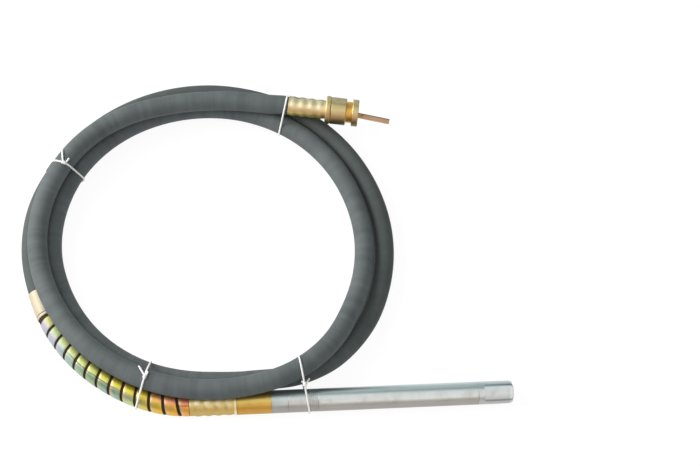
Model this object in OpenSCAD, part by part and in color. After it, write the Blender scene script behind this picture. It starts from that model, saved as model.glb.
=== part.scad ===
// Flexible-shaft concrete vibrator: a steel poker head, a coiled drive hose and a motor coupling.
// Millimetres. The head lies along X with its nose at +X, and Z = 0 is the floor.

/* [Head] */
// Outside diameter of the head
head_d = 36; // [30:1:45]
// Wall of the head tube
tube_wall = 4; // [3:0.5:5]
// Length of the plain head tube
tube_l = 250; // [220:0.5:340]
// Length of the nose
nose_l = 56.5; // [50:0.5:70]
// Width across the two wrench flats of the nose
nose_flats = 27; // [25:0.5:33]
// Length of the wrench flats
nose_flat_l = 47; // [20:1:50]
// Height of the domed end of the nose
nose_dome = 4; // [2:0.5:7]
// Tilt of the wrench flats round the head's axis
nose_roll = 22; // [0:1:90]
// Length of the bearing housing
bearing_housing_l = 47.5; // [44:0.5:70]
// Number of grooves in the housing's band
groove_count = 6; // [3:1:8]
// Spacing of those grooves
groove_pitch = 3; // [2:0.1:4]
// Length of the seal housing
seal_housing_l = 26; // [24:0.5:34]
// Length of the hose connector
connector_l = 58.5; // [50:0.5:80]

/* [Drive in the head] */
// Diameter of the spindle at its bearings
spindle_d = 10; // [9:0.5:11]
// Outside diameter of a ball bearing
bearing_d = 26; // [24:0.5:27]
// Width of a ball bearing
bearing_w = 8; // [7:0.5:9]
// Balls in a bearing
ball_count = 7; // [6:1:8]
// Diameter of a ball
ball_d = 4.76; // [4.5:0.02:5]
// Bore of the raceway that the pendulum rolls in
raceway_d = 23; // [22:0.1:24]
// Length of the raceway
raceway_l = 55; // [40:1:70]
// Diameter of the pendulum where it rolls
pendulum_d = 19; // [17:0.1:20]
// Diameter of the pendulum's shank
shank_d = 14; // [10:0.5:16]
// Outside diameter of the rubber coupling
rubber_d = 22; // [20:0.5:25]

/* [Hose] */
// Outside diameter of the hose
hose_d = 32; // [30:0.5:32]
// Bore of the hose
hose_bore = 20; // [18:0.5:22]
// Diameter of the flexible core
core_d = 10; // [8:0.5:12]
// Mean radius of the coil
coil_r = 268; // [230:1:330]
// Rings of the hose in each loop
loop_rings = 30; // [24:1:36]

/* [Guard] */
// Length of the plain band where the guard starts
band_l = 46; // [30:1:60]
// Width of the wound strip
strip_w = 19.2; // [14:0.1:20]
// Thickness of band and strip
strip_t = 0.9; // [0.6:0.1:1]
// Gap between turns of the strip
strip_open = 3.2; // [1:0.1:5]
// Turns of the strip
strip_turns = 13; // [8:1:13]

/* [Ferrules] */
// Length of the ferrule at the head
head_ferrule_l = 69.5; // [60:0.5:90]
// Outside diameter of the ferrule at the head
head_ferrule_d = 36; // [35:0.5:38]
// Length of the ferrule at the motor end
motor_ferrule_l = 63; // [50:0.5:90]
// Outside diameter of the ferrule at the motor end
motor_ferrule_d = 33; // [31:0.5:35]
// How much that ferrule narrows towards the coupling
motor_taper = 0.8; // [0:0.1:1.2]
// Wall of both ferrules
ferrule_wall = 2.2; // [1.8:0.1:2.6]
// Depth of the crimped waves
crimp_depth = 1.1; // [0.3:0.1:1.2]

/* [Motor coupling] */
// Diameter of the coupling's collar and end flange
collar_d = 45; // [40:0.5:50]
// Length of the collar
collar_l = 26; // [18:0.5:35]
// Diameter of the lock groove
lock_d = 35; // [31:0.5:38]
// Length of the lock groove
lock_l = 10; // [7:0.5:14]
// Length of the end flange
flange_l = 10.5; // [6:0.5:14]
// Diameter of the stop ring
stop_d = 47; // [46:0.5:50]
// Length of the stop ring
stop_l = 8.5; // [5:0.5:10]
// Bore of the coupling round the drive tip
socket_d = 24; // [20:0.5:28]
// Width across the square of the drive tip
tip_w = 8; // [6:0.1:10]
// Length of the drive tip outside the coupling
tip_out = 53.5; // [40:0.5:70]

/* [Ties] */
// Diameter of the string
string_d = 1; // [0.8:0.1:1]

/* [Hidden] */
// Clearances: pieces that seat in one another, running pieces and faces of soft pieces
seat = 0.03;
running = 0.06;
soft = 0.3;

// Places along the head's axis, from the mouth of the head ferrule to the nose
head_l = head_ferrule_l + connector_l + seal_housing_l + bearing_housing_l + tube_l + nose_l;
mouth_x = -head_l / 2;
connector_x = mouth_x + head_ferrule_l;
seal_x = connector_x + connector_l;
housing_x = seal_x + seal_housing_l;
tube_x = housing_x + bearing_housing_l;
nose_x = tube_x + tube_l;
tip_x = nose_x + nose_l;
head_r = head_d / 2;
tube_bore_r = head_r - tube_wall;

// Spigots between the head's pieces
spigot_l = 20;
spigot_wall = 5;
seal_spigot_r = bearing_d / 2 + 1;
clamp_l = 5;
groove_w = 0.8;
groove_depth = 0.6;
housing_bore_r = spindle_d / 2 + 5;
seal_bore_r = spindle_d / 2 + 4.6;

// Bearings and spindle: the front bearing stands on the housing's shoulder
shoulder_l = 4;
front_bearing_x = tube_x - shoulder_l - bearing_w;
rear_bearing_x = housing_x + clamp_l;
spindle_r = spindle_d / 2;
race_r = spindle_r + (bearing_d / 2 - spindle_r) / 2;
inner_ring_r = race_r - ball_d * 0.3;
outer_ring_r = race_r + ball_d * 0.3;
groove_r = ball_d / 2 + running;
nut_r = spindle_r + 3;
seal_r = nut_r + 4;
seal_w = 7;
seal_step = 4.5;
nut_rear_x = seal_x + 3;
spindle_rear_x = seal_x - 14;
socket_l = 16;
flange_r = inner_ring_r;
spindle_stub_r = 4;
spindle_stub_l = 20;
spindle_flange_x = front_bearing_x + bearing_w;
spindle_flange_l = 8;

// Pendulum: its ball joint in the rubber coupling, its lean and the raceway before the nose
rubber_x = spindle_flange_x + spindle_flange_l;
rubber_l = 52;
pivot_x = rubber_x + rubber_l - 9;
joint_ball_r = 5.5;
joint_socket_r = joint_ball_r + 0.4;
neck_r = 3.5;
raceway_x = nose_x - spigot_l - 1 - raceway_l;
roll_gap = 0.1;
throw = raceway_d / 2 - pendulum_d / 2 - roll_gap;
roll_l = raceway_l - 6;
roll_mid = raceway_x + raceway_l / 2 - pivot_x;
lean = asin(throw / roll_mid);

// Flexible core and its swaged end
core_end_r = core_d / 2 + 1.2;
core_end_l = 24;
tongue_w = 5.5;
core_end_x = spindle_rear_x - core_end_l - 6;
stem_r = hose_bore / 2 - seat;
stem_bore_r = core_d / 2 + 2;
stem_start = 4;

// Heights of the head's axis and of the hose's lowest layer: each lies on the strings below it
string_gap = 0.4;
hose_r = hose_d / 2;
hose_sides = 12;
head_z = head_r + string_d + string_gap;
lay_z = hose_r + string_d + string_gap;
coil_x = mouth_x + 29.5;
coil_y = coil_r + 6;

// Lay of the coil: angle round its middle, out from the mean radius, up from the lowest layer.
// The first turn starts at the motor coupling and lies on the other two. The second lies inside the third
// and crosses below the first to get outside, and the third ends in the head.
lay = [
    [59.1, 5, 38.6], [64.7, -6.6, 40.9], [72, -15, 43.2], [80, -19.4, 43.6], [90, -22.2, 43.6],
    [105, -19, 43.6], [120, -10, 44], [135, -1.2, 42.4], [150, 3.8, 39], [165, 5.6, 34.5],
    [180, 3.6, 31], [210, -5.8, 31], [240, -11, 31.5], [270, -8, 32.5], [285, -3, 33], [300, 4, 33.6],
    [315, 5, 33.6], [330, -2.5, 28], [345, -8, 20], [360, -12.5, 14.5], [375, -16.2, 12.5],
    [390, -18, 11.5], [420, -19, 10.5], [450, -18, 10.5], [465, -16.2, 10.5], [480, -13.8, 10.8],
    [495, -11.9, 10.6], [510, -11.4, 9.5], [525, -12.4, 5], [540, -15.3, 1], [555, -21.1, 0],
    [570, -25.8, 0], [600, -31.7, 0], [630, -32.3, 0], [645, -22.8, 0], [652.5, -13.2, 0], [660, 0, 0],
    [667.5, 10.6, 0], [675, 18.4, 0], [690, 24.2, 0], [705, 22.7, 0], [720, 19.9, 0], [735, 16.4, 0],
    [750, 14.2, 0], [780, 12.8, 0], [795, 13.2, 0], [810, 15.5, 0], [840, 18.9, 0], [870, 20, 0],
    [885, 21.4, 0], [900, 18.3, 0.2], [915, 13.3, 0.6], [930, 12, 1.2], [945, 11.2, 1.8],
    [960, 10.6, 2.2]
];
coil_first = 65;
guard_first = 906;
coil_last = 955.5;

// Axis of the motor coupling: heading in plan and droop, and the looser drive tip's own
motor_heading = -7.9;
motor_droop = 3.5;
tip_heading = -3.1;
tip_droop = 5;
tip_roll = 20;

// Slope of the lay table's column at one station, and its smooth value at any angle
function slope(i, col) =
    let (a = max(i - 1, 0), b = min(i + 1, len(lay) - 1)) (lay[b][col] - lay[a][col]) / (lay[b][0] - lay[a][0]);
function station(angle) = max([for (i = [0:len(lay) - 2]) if (lay[i][0] <= angle) i]);
function blend(angle, col) =
    let (
        i = station(angle), span = lay[i + 1][0] - lay[i][0], t = (angle - lay[i][0]) / span,
        a = slope(i, col) * span, b = slope(i + 1, col) * span, u = lay[i][col], v = lay[i + 1][col]
    )
    u + t * (a + t * (3 * (v - u) - 2 * a - b + t * (2 * (u - v) + a + b)));
function coil_point(angle) =
    let (r = coil_r + blend(angle, 1))
    [coil_x + r * cos(angle), coil_y + r * sin(angle), lay_z + blend(angle, 2)];

function unit(v) = v / norm(v);

// Mouth of the motor ferrule, and points along the two straight ends
motor_mouth = coil_point(lay[0][0]);
motor_dir = [cos(motor_droop) * cos(motor_heading), cos(motor_droop) * sin(motor_heading), -sin(motor_droop)];
function motor_at(d) = motor_mouth + d * motor_dir;
function head_at(d) = [mouth_x + d, 0, head_z];

// Last bend of the hose, from the coil into the head: a cubic between the two directions
bend_steps = 9;
bend_from = coil_point(coil_last);
bend_to = head_at(-2);
bend_l = norm(bend_to - bend_from);
bend_lead = bend_l * unit(bend_from - coil_point(coil_last - 1));
bend_run = [bend_l, 0, 0];
function bend(t) =
    let (back = 1 - t)
    bend_from * back * back * (1 + 2 * t) + bend_to * t * t * (1 + 2 * back)
        + bend_lead * t * back * back - bend_run * t * t * back;

hose_end_gap = 3;
motor_hose_in = motor_ferrule_l - hose_end_gap;
head_hose_in = head_ferrule_l - hose_end_gap;
step_in = 0.3;
lead = 10;

// Route of the hose from the motor coupling to the head, each point with the hose's radius there
squeeze_gap = 0.12;
motor_squeeze = motor_ferrule_d / 2 - ferrule_wall - squeeze_gap;
head_squeeze = head_ferrule_d / 2 - ferrule_wall - squeeze_gap;
coil_step = 360 / loop_rings;
guard_step = 4.5;
open_run = concat(
    [motor_at(-2), motor_at(-lead)],
    [for (angle = [coil_first:coil_step:guard_first - guard_step]) coil_point(angle)],
    [for (angle = [guard_first:guard_step:coil_last]) coil_point(angle)],
    [for (k = [1:bend_steps]) bend(k / bend_steps)]
);
route = concat(
    [motor_at(motor_hose_in), motor_at(-step_in)], open_run, [head_at(-step_in), head_at(head_hose_in)]
);
route_r = concat(
    [motor_squeeze, motor_squeeze], [for (p = open_run) hose_r], [head_squeeze, head_squeeze]
);

// The core follows the hose and runs on into the coupling and the head
core_motor_in = motor_ferrule_l + stop_l + 8;
core_head_in = core_end_x - mouth_x - soft;
core_route = concat(
    [motor_at(core_motor_in)],
    [for (i = [1:len(route) - 2]) route[i]],
    [head_at(core_head_in)]
);

// Cross-frame of a path at one of its points: left of travel and upwards
function travel(path, i) = unit(path[min(i + 1, len(path) - 1)] - path[max(i - 1, 0)]);
function left(path, i) = unit(cross([0, 0, 1], travel(path, i)));
function rise(path, i) = cross(travel(path, i), left(path, i));
function ring(path, i, r, sides) = [
    for (k = [0:sides - 1])
        let (q = (k + 0.5) * 360 / sides) path[i] + r * (cos(q) * left(path, i) + sin(q) * rise(path, i))
];

// Lengths along the hose, and a point on its surface at a length, turned by an angle, at a radius
function running_sum(list, i = 0, total = 0) =
    i == len(list) ? [] : concat([total + list[i]], running_sum(list, i + 1, total + list[i]));
route_s = concat([0], running_sum([for (i = [1:len(route) - 1]) norm(route[i] - route[i - 1])]));
mouth_s = route_s[len(route) - 2] + step_in;
function segment(s) = min(max([for (i = [0:len(route) - 1]) if (route_s[i] <= s) i]), len(route) - 2);
function round_hose(s, q, r) =
    let (
        i = segment(s), t = (s - route_s[i]) / (route_s[i + 1] - route_s[i]),
        middle = route[i] + t * (route[i + 1] - route[i]),
        side = left(route, i) * (1 - t) + left(route, i + 1) * t,
        top = rise(route, i) * (1 - t) + rise(route, i + 1) * t
    )
    middle + r * (cos(q) * side + sin(q) * top);

// Least gap between the hose's own turns, measured on points along it
probe_step = 18;
probe = [for (s = [0:probe_step:route_s[len(route) - 1]]) round_hose(s, 0, 0)];
turn_apart = floor(coil_r * 2 / probe_step);
hose_gap = min([
    for (i = [0:len(probe) - 1 - turn_apart]) for (j = [i + turn_apart:len(probe) - 1])
        norm(probe[i] - probe[j])
]) - hose_d;
echo(least_gap_of_hose_to_itself = hose_gap, hose_length = route_s[len(route) - 1]);

// Guard: band first, then the strip, whose last turn is cut off square at the mouth of the head ferrule.
// The helix starts under the hose, and the strip itself a few steps later, clear of the band.
guard_gap = 0.4;
turn_steps = 16;
strip_roll = -60;
strip_skip = 5;
strip_past = 5.4;
strip_pitch = strip_w + strip_open;
strip_cut_s = mouth_s - 0.6;
strip_start_s = mouth_s + strip_past - strip_turns * strip_pitch;
band_end_s = strip_start_s + strip_skip * strip_pitch / turn_steps - strip_w / 2 - 2;
guard_r = (hose_r + guard_gap) / cos(180 / turn_steps) + strip_t;

// Ties: where each crosses the coil's mean circle, its heading there, and how far it leans to the side
ties = [[60.5, 77.5, -0.14], [149.4, 160.7, 0.03], [247.4, 252.9, 0.165], [302.9, 279.4, 0]];
tie_z = 2 * lay_z;
tie_steps = 24;
tie_reach = 90;
string_sides = 6;

// Solid of revolution about X from an outline of [x, radius] points
module lathe(outline) rotate([0, 90, 0])
    rotate_extrude($fn = 96) polygon([for (p = outline) [p[1], p[0]]]);

// Plain ring about X
module ring_x(x, l, r_out, r_in) lathe([[x, r_in], [x + l, r_in], [x + l, r_out], [x, r_out]]);

module on_head() translate([0, 0, head_z]) children();
module on_motor() translate(motor_mouth) rotate([0, motor_droop, motor_heading]) children();

// Walled tube along a path: triangles of its outer and inner walls and its two end rings
module walled_tube(path, outer, inner, sides) {
    n = len(path);
    wall = n * sides;
    points = concat(
        [for (i = [0:n - 1]) each ring(path, i, outer[i], sides)],
        [for (i = [0:n - 1]) each ring(path, i, inner[i], sides)]
    );
    walls = [
        for (i = [0:n - 2]) for (k = [0:sides - 1])
            let (m = (k + 1) % sides, a = i * sides + k, b = a + sides, d = i * sides + m, c = d + sides)
            each [[a, b, c], [a, c, d], [a + wall, c + wall, b + wall], [a + wall, d + wall, c + wall]]
    ];
    ends = [
        for (k = [0:sides - 1])
            let (m = (k + 1) % sides, last = (n - 1) * sides)
            each [
                [k, m, m + wall], [k, m + wall, k + wall],
                [last + k, last + m + wall, last + m], [last + k, last + k + wall, last + m + wall]
            ]
    ];
    polyhedron(points, concat(walls, ends), convexity = 10);
}

// Solid round bar along a path, closed into a ring on request
module round_bar(path_rings, closed = false) {
    n = len(path_rings);
    sides = len(path_rings[0]);
    walls = [
        for (i = [0:closed ? n - 1 : n - 2]) for (k = [0:sides - 1])
            let (
                m = (k + 1) % sides, j = (i + 1) % n,
                a = i * sides + k, b = j * sides + k, c = j * sides + m, d = i * sides + m
            )
            each [[a, b, c], [a, c, d]]
    ];
    caps = closed ? [] : [
        for (k = [1:sides - 2]) each [
            [0, k, k + 1],
            [(n - 1) * sides, (n - 1) * sides + k + 1, (n - 1) * sides + k]
        ]
    ];
    polyhedron([for (r = path_rings) each r], concat(walls, caps), convexity = 10);
}

// Ferrule from x = 0 to l: a lip, waves of the crimp, then a plain stretch, all narrowing by a taper
module crimped(l, r, lip_l, waves, wave_l, taper) {
    per_wave = 8;
    lathe(concat(
        [[0, r - ferrule_wall], [l, r - ferrule_wall], [l, r - taper - 0.2]],
        [for (k = [waves * per_wave:-1:0])
            let (x = lip_l + k * wave_l / per_wave)
            [x, r - taper * x / l - crimp_depth * (0.5 + 0.5 * cos(360 * k / per_wave))]],
        [[0, r - crimp_depth]]
    ));
}

// Head, from the nose back to the hose
module head_tube() color("silver") on_head() ring_x(tube_x, tube_l, head_r, tube_bore_r);

module nose_cap() {
    flat_x = tip_x - nose_flat_l;
    bevel_l = 2;
    end_r = head_r - 1.5;
    dome_r = (end_r * end_r + nose_dome * nose_dome) / (2 * nose_dome);
    dome_half = asin(end_r / dome_r);
    dome = [for (k = [0:6]) let (q = dome_half * k / 6)
        [tip_x - dome_r * (1 - cos(q)), k == 0 ? 0 : dome_r * sin(q)]];
    color("silver") on_head() difference() {
        union() {
            lathe(concat(dome, [
                [tip_x - nose_dome - bevel_l, head_r - 0.4], [nose_x + bevel_l, head_r],
                [nose_x, head_r], [nose_x, 0]
            ]));
            ring_x(nose_x - spigot_l, spigot_l, tube_bore_r - seat, tube_bore_r - spigot_wall);
        }
        rotate([nose_roll, 0, 0]) for (side = [-1, 1])
            translate([flat_x, -head_d, side * (nose_flats / 2 + head_d / 2) - head_d / 2])
                cube([nose_flat_l + 1, 2 * head_d, head_d]);
    }
}

module bearing_housing() {
    color("gainsboro") on_head() difference() {
        union() {
            ring_x(housing_x, bearing_housing_l, head_r, housing_bore_r);
            ring_x(tube_x, spigot_l, tube_bore_r - seat, housing_bore_r + 1.6);
        }
        ring_x(housing_x - 1, bearing_housing_l - shoulder_l + 1, bearing_d / 2 + seat, 1);
        for (k = [0:groove_count - 1])
            ring_x(tube_x - (k + 0.7) * groove_pitch, groove_w, head_r + 1, head_r - groove_depth);
    }
}

module seal_housing() {
    color("darkgray") on_head() difference() {
        union() {
            ring_x(seal_x, seal_housing_l, head_r, seal_bore_r);
            ring_x(seal_x - spigot_l, spigot_l, seal_spigot_r - seat, seal_bore_r);
            ring_x(housing_x, clamp_l, bearing_d / 2 - seat, race_r + 1);
        }
        ring_x(seal_x + seal_step, seal_w + 0.2, seal_r + seat, 1);
    }
}

module hose_connector() {
    ring_l = 4;
    end_wall = 6;
    barb_count = 10;
    barb_pitch = 6;
    barb_l = 4;
    color("goldenrod") on_head() difference() {
        union() {
            ring_x(connector_x, connector_l, head_r, core_end_r + 2.5);
            ring_x(mouth_x + stem_start, head_ferrule_l - stem_start, stem_r, stem_bore_r);
            ring_x(connector_x, end_wall, head_r, stem_bore_r);
        }
        ring_x(seal_x - spigot_l - 1, spigot_l + 2, seal_spigot_r, 1);
        ring_x(connector_x + ring_l, groove_w, head_r + 1, head_r - groove_depth);
        for (k = [1:barb_count])
            ring_x(
                mouth_x + stem_start + k * barb_pitch - 1, barb_pitch - barb_l, stem_r + 1, stem_r - groove_depth
            );
    }
}

module head_ferrule() color("khaki") on_head() translate([mouth_x, 0, 0])
    crimped(head_ferrule_l, head_ferrule_d / 2, lip_l = 5, waves = 4, wave_l = 16, taper = 0);

// Drive in the head
module raceway() color("dimgray") on_head()
    ring_x(raceway_x, raceway_l, tube_bore_r - seat, raceway_d / 2);

module pendulum_rotor() {
    half = roll_l / 2;
    rise_end = tan(lean);
    neck_l = 14;
    taper_l = 4;
    color("slategray") on_head() translate([pivot_x, 0, 0]) rotate([0, lean, 0]) union() {
        sphere(r = joint_ball_r, $fn = 48);
        lathe([
            [neck_r, 0], [neck_r, neck_r], [neck_l, neck_r], [neck_l + taper_l, shank_d / 2],
            [roll_mid - half - taper_l, shank_d / 2],
            [roll_mid - half, pendulum_d / 2 + half * rise_end],
            [roll_mid + half, pendulum_d / 2 - half * rise_end],
            [roll_mid + half + 2, pendulum_d / 2 - 2.5], [roll_mid + half + 2, 0]
        ]);
    }
}

module rubber_coupling() {
    waist = 1.2;
    color("#2b2b2b") on_head() difference() {
        lathe(concat(
            [[rubber_x, spindle_stub_r + seat], [rubber_x + rubber_l, spindle_stub_r + seat]],
            [for (k = [12:-1:0])
                [rubber_x + rubber_l * k / 12, rubber_d / 2 - waist * sin(180 * k / 12)]]
        ));
        ring_x(pivot_x - joint_ball_r - 1, rubber_l, joint_socket_r, 0.01);
    }
}

module drive_spindle() color("lightslategray") on_head() difference() {
    lathe([
        [spindle_rear_x, 0], [spindle_rear_x, spindle_r - 0.6], [spindle_rear_x + 0.6, spindle_r],
        [spindle_flange_x, spindle_r], [spindle_flange_x, flange_r],
        [spindle_flange_x + spindle_flange_l, flange_r],
        [spindle_flange_x + spindle_flange_l, spindle_stub_r],
        [spindle_flange_x + spindle_flange_l + spindle_stub_l, spindle_stub_r],
        [spindle_flange_x + spindle_flange_l + spindle_stub_l, 0]
    ]);
    translate([spindle_rear_x - 1, -tongue_w / 2, -tongue_w / 2]) cube([socket_l + 1, tongue_w, tongue_w]);
}

module spindle_nut() color("gray") on_head()
    ring_x(nut_rear_x, rear_bearing_x - nut_rear_x, nut_r, spindle_r + seat);

module oil_seal() color("#3a2a20") on_head() lathe([
    [seal_x + seal_step + 0.1, seal_r], [seal_x + seal_step + seal_w, seal_r],
    [seal_x + seal_step + seal_w, seal_r - 1.2], [seal_x + seal_step + 2.5, seal_r - 1.6],
    [seal_x + seal_step + 4.5, nut_r + running], [seal_x + seal_step + 3.5, nut_r + running],
    [seal_x + seal_step + 0.1, nut_r + 1.4]
]);

// Ball bearings: the same set at the front and the rear seat
module at_bearings() for (x = [front_bearing_x, rear_bearing_x]) on_head() translate([x, 0, 0]) children();
module ball_track() rotate([0, 90, 0]) translate([0, 0, bearing_w / 2])
    rotate_extrude($fn = 96) translate([race_r, 0]) circle(r = groove_r, $fn = 48);
module each_ball() for (k = [0:ball_count - 1])
    rotate([k * 360 / ball_count, 0, 0]) translate([bearing_w / 2, 0, race_r]) children();

module bearing_outer_rings() color("lightgray") at_bearings() difference() {
    ring_x(0, bearing_w, bearing_d / 2, outer_ring_r);
    ball_track();
}
module bearing_inner_rings() color("lightgray") at_bearings() difference() {
    ring_x(0, bearing_w, inner_ring_r, spindle_r + seat);
    ball_track();
}
module bearing_balls() color("whitesmoke") at_bearings() each_ball() sphere(d = ball_d, $fn = 48);
module ball_cages() {
    cage_t = 0.7;
    color("peru") at_bearings() difference() {
        ring_x(bearing_w * 0.18, bearing_w * 0.64, race_r + cage_t, race_r - cage_t);
        each_ball() sphere(d = ball_d + 2 * running, $fn = 48);
    }
}
module outer_spacer() color("gray") on_head() ring_x(
    rear_bearing_x + bearing_w, front_bearing_x - rear_bearing_x - bearing_w, bearing_d / 2 - seat, outer_ring_r
);
module inner_spacer() color("gray") on_head() ring_x(
    rear_bearing_x + bearing_w, front_bearing_x - rear_bearing_x - bearing_w, inner_ring_r, spindle_r + seat
);

// Core and its end in the head
module core_end() {
    tongue_l = spindle_rear_x + socket_l - 1 - core_end_x - core_end_l;
    tongue = tongue_w - 2 * seat;
    color("rosybrown") on_head() union() {
        lathe([
            [core_end_x, 0], [core_end_x, core_end_r - 1], [core_end_x + 1, core_end_r],
            [core_end_x + core_end_l - 1, core_end_r], [core_end_x + core_end_l, core_end_r - 1],
            [core_end_x + core_end_l, 0]
        ]);
        translate([core_end_x + core_end_l - 1, -tongue / 2, -tongue / 2]) cube([tongue_l + 1, tongue, tongue]);
    }
}
module flexible_core() color("rosybrown")
    round_bar([for (i = [0:len(core_route) - 1]) ring(core_route, i, core_d / 2, 6)]);

// Hose and its guard
module hose() color("#4f5a59") walled_tube(
    route, route_r, [for (p = route) hose_bore / 2 / cos(180 / hose_sides)], hose_sides
);

module guard_band() {
    band_steps = 4;
    path = [for (k = [0:band_steps]) round_hose(band_end_s - band_l * (1 - k / band_steps), 0, 0)];
    color("lemonchiffon") walled_tube(
        path, [for (p = path) guard_r], [for (p = path) guard_r - strip_t], turn_steps
    );
}

module guard_strip() color("darkkhaki") round_bar([
    for (k = [strip_skip:strip_turns * turn_steps])
        let (
            s = strip_start_s + k * strip_pitch / turn_steps, q = k * 360 / turn_steps + strip_roll,
            near = s - strip_w / 2, far = min(s + strip_w / 2, strip_cut_s)
        )
        [
            round_hose(near, q, guard_r - strip_t), round_hose(near, q, guard_r),
            round_hose(far, q, guard_r), round_hose(far, q, guard_r - strip_t)
        ]
]);

// Ties: a string drawn tight round what it crosses. Each strand is an oval in the string's leaning plane,
// given by its middle (along the plane, up) and its two half widths.
function plane_dir(tie) = [cos(tie[1]), sin(tie[1])];
function plane_side(tie) = [-sin(tie[1]), cos(tie[1])];
function tie_foot(tie) = [coil_x + coil_r * cos(tie[0]), coil_y + coil_r * sin(tie[0])];
function beside(tie, p) = cross(plane_dir(tie), [p.x, p.y] - tie_foot(tie)) - tie[2] * (p.z - tie_z);
function hose_strands(tie, grow) = [
    for (i = [0:len(route) - 2])
        let (
            a = beside(tie, route[i]), b = beside(tie, route[i + 1]), run = route[i + 1] - route[i],
            p = route[i] + run * a / (a - b), u = ([p.x, p.y] - tie_foot(tie)) * plane_dir(tie),
            across = abs(cross(unit([run.x, run.y]), plane_dir(tie))),
            r = grow + (route_s[i + 1] > band_end_s - band_l ? guard_r : hose_r)
        )
        if (a * b < 0 && abs(u) < tie_reach) [u, p.z, r / across, r]
];
function head_strand(tie, grow) =
    let (foot = tie_foot(tie), dir = plane_dir(tie))
    [-foot.y / dir.y, head_z, (head_r + grow) / abs(dir.y), head_r + grow];
function reach(oval, q) =
    oval[0] * cos(q) + oval[1] * sin(q) + sqrt(pow(oval[2] * cos(q), 2) + pow(oval[3] * sin(q), 2));
function touch(oval, q) =
    let (h = sqrt(pow(oval[2] * cos(q), 2) + pow(oval[3] * sin(q), 2)))
    [oval[0] + pow(oval[2], 2) * cos(q) / h, oval[1] + pow(oval[3], 2) * sin(q) / h];
function outermost(ovals, q) =
    let (far = max([for (o = ovals) reach(o, q)])) [for (o = ovals) if (reach(o, q) == far) o][0];
function string_line(tie, ovals) = [
    for (k = [0:tie_steps - 1])
        let (
            q = (k + 0.5) * 360 / tie_steps - 90, p = touch(outermost(ovals, q), q),
            plan = tie_foot(tie) + p[0] * plane_dir(tie) + tie[2] * (p[1] - tie_z) * plane_side(tie)
        )
        [plan.x, plan.y, p[1]]
];
module string_loop(tie, ovals) {
    line = string_line(tie, ovals);
    n = len(line);
    flat = [plane_side(tie).x, plane_side(tie).y, 0];
    round_bar([
        for (i = [0:n - 1])
            let (
                along = unit(line[(i + 1) % n] - line[(i + n - 1) % n]),
                out = unit(cross(along, flat)), side = cross(out, along)
            )
            [for (k = [0:string_sides - 1])
                let (q = (k + 0.5) * 360 / string_sides)
                line[i] + string_d / 2 * (cos(q) * side + sin(q) * out)]
    ], closed = true);
}
module string_ties() {
    grow = string_gap + string_d / 2;
    head_tie = len(ties) - 1;
    color("white") for (t = [0:head_tie]) string_loop(ties[t], concat(
        hose_strands(ties[t], grow), t == head_tie ? [head_strand(ties[t], grow)] : []
    ));
}

// Motor end, along its own axis from the mouth of the ferrule
module motor_ferrule() color("khaki") on_motor()
    crimped(motor_ferrule_l, motor_ferrule_d / 2, lip_l = 1, waves = 4, wave_l = 15.3, taper = motor_taper / 2);

module stop_ring() {
    x0 = motor_ferrule_l;
    x1 = x0 + stop_l;
    bevel = 1.5;
    color("khaki") on_motor() lathe([
        [x0, stem_r + seat], [x1, stem_r + seat], [x1, stop_d / 2], [x0 + bevel, stop_d / 2],
        [x0, stop_d / 2 - bevel]
    ]);
}

module coupling_body() {
    x0 = motor_ferrule_l + stop_l;
    x1 = x0 + collar_l;
    x2 = x1 + lock_l;
    x3 = x2 + flange_l;
    bevel = 1;
    socket_x = core_motor_in - 4;
    color("darkgoldenrod") on_motor() difference() {
        lathe([
            [stem_start, stem_bore_r], [x3, stem_bore_r], [x3, collar_d / 2 - bevel], [x3 - bevel, collar_d / 2],
            [x2 + bevel, collar_d / 2], [x2, collar_d / 2 - bevel], [x2, lock_d / 2], [x1, lock_d / 2],
            [x1, collar_d / 2 - bevel], [x1 - bevel, collar_d / 2], [x0 + bevel, collar_d / 2],
            [x0, collar_d / 2 - bevel], [x0, stem_r], [stem_start, stem_r]
        ]);
        ring_x(socket_x, x3 - socket_x + 1, socket_d / 2, 1);
    }
}

module drive_tip() {
    collar_r = core_d / 2 + 1;
    start = 1.2;
    collar = 14;
    end = motor_ferrule_l + stop_l + collar_l + lock_l + flange_l + tip_out - core_motor_in;
    color("peru") on_motor() translate([core_motor_in, 0, 0]) rotate([0, tip_droop, tip_heading]) union() {
        lathe([
            [start, 0], [start, collar_r - 1], [start + 1, collar_r], [start + collar, collar_r],
            [start + collar + 2, tip_w / 2], [start + collar + 2, 0]
        ]);
        rotate([tip_roll, 0, 0]) translate([start + collar, -tip_w / 2, -tip_w / 2])
            cube([end - start - collar, tip_w, tip_w]);
    }
}

head_tube();
nose_cap();
bearing_housing();
seal_housing();
hose_connector();
head_ferrule();
raceway();
pendulum_rotor();
rubber_coupling();
drive_spindle();
spindle_nut();
oil_seal();
bearing_outer_rings();
bearing_inner_rings();
bearing_balls();
ball_cages();
outer_spacer();
inner_spacer();
core_end();
flexible_core();
hose();
guard_band();
guard_strip();
string_ties();
motor_ferrule();
stop_ring();
coupling_body();
drive_tip();
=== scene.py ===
"""Looks of a flexible-shaft concrete vibrator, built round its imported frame.

The poker head lies along X, the drive hose is coiled behind it and ends in the motor coupling. Sizes in the
classes are millimetres, as on a maker's drawing, and become metres in the meshes. Each new piece carries a
point attribute named "lay" with its own coordinates in millimetres: along the piece, then across and up.
"""

from __future__ import annotations

import logging
import math
from dataclasses import dataclass, field
from enum import Enum
from typing import Any, Mapping, Optional, Sequence, Union

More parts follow.
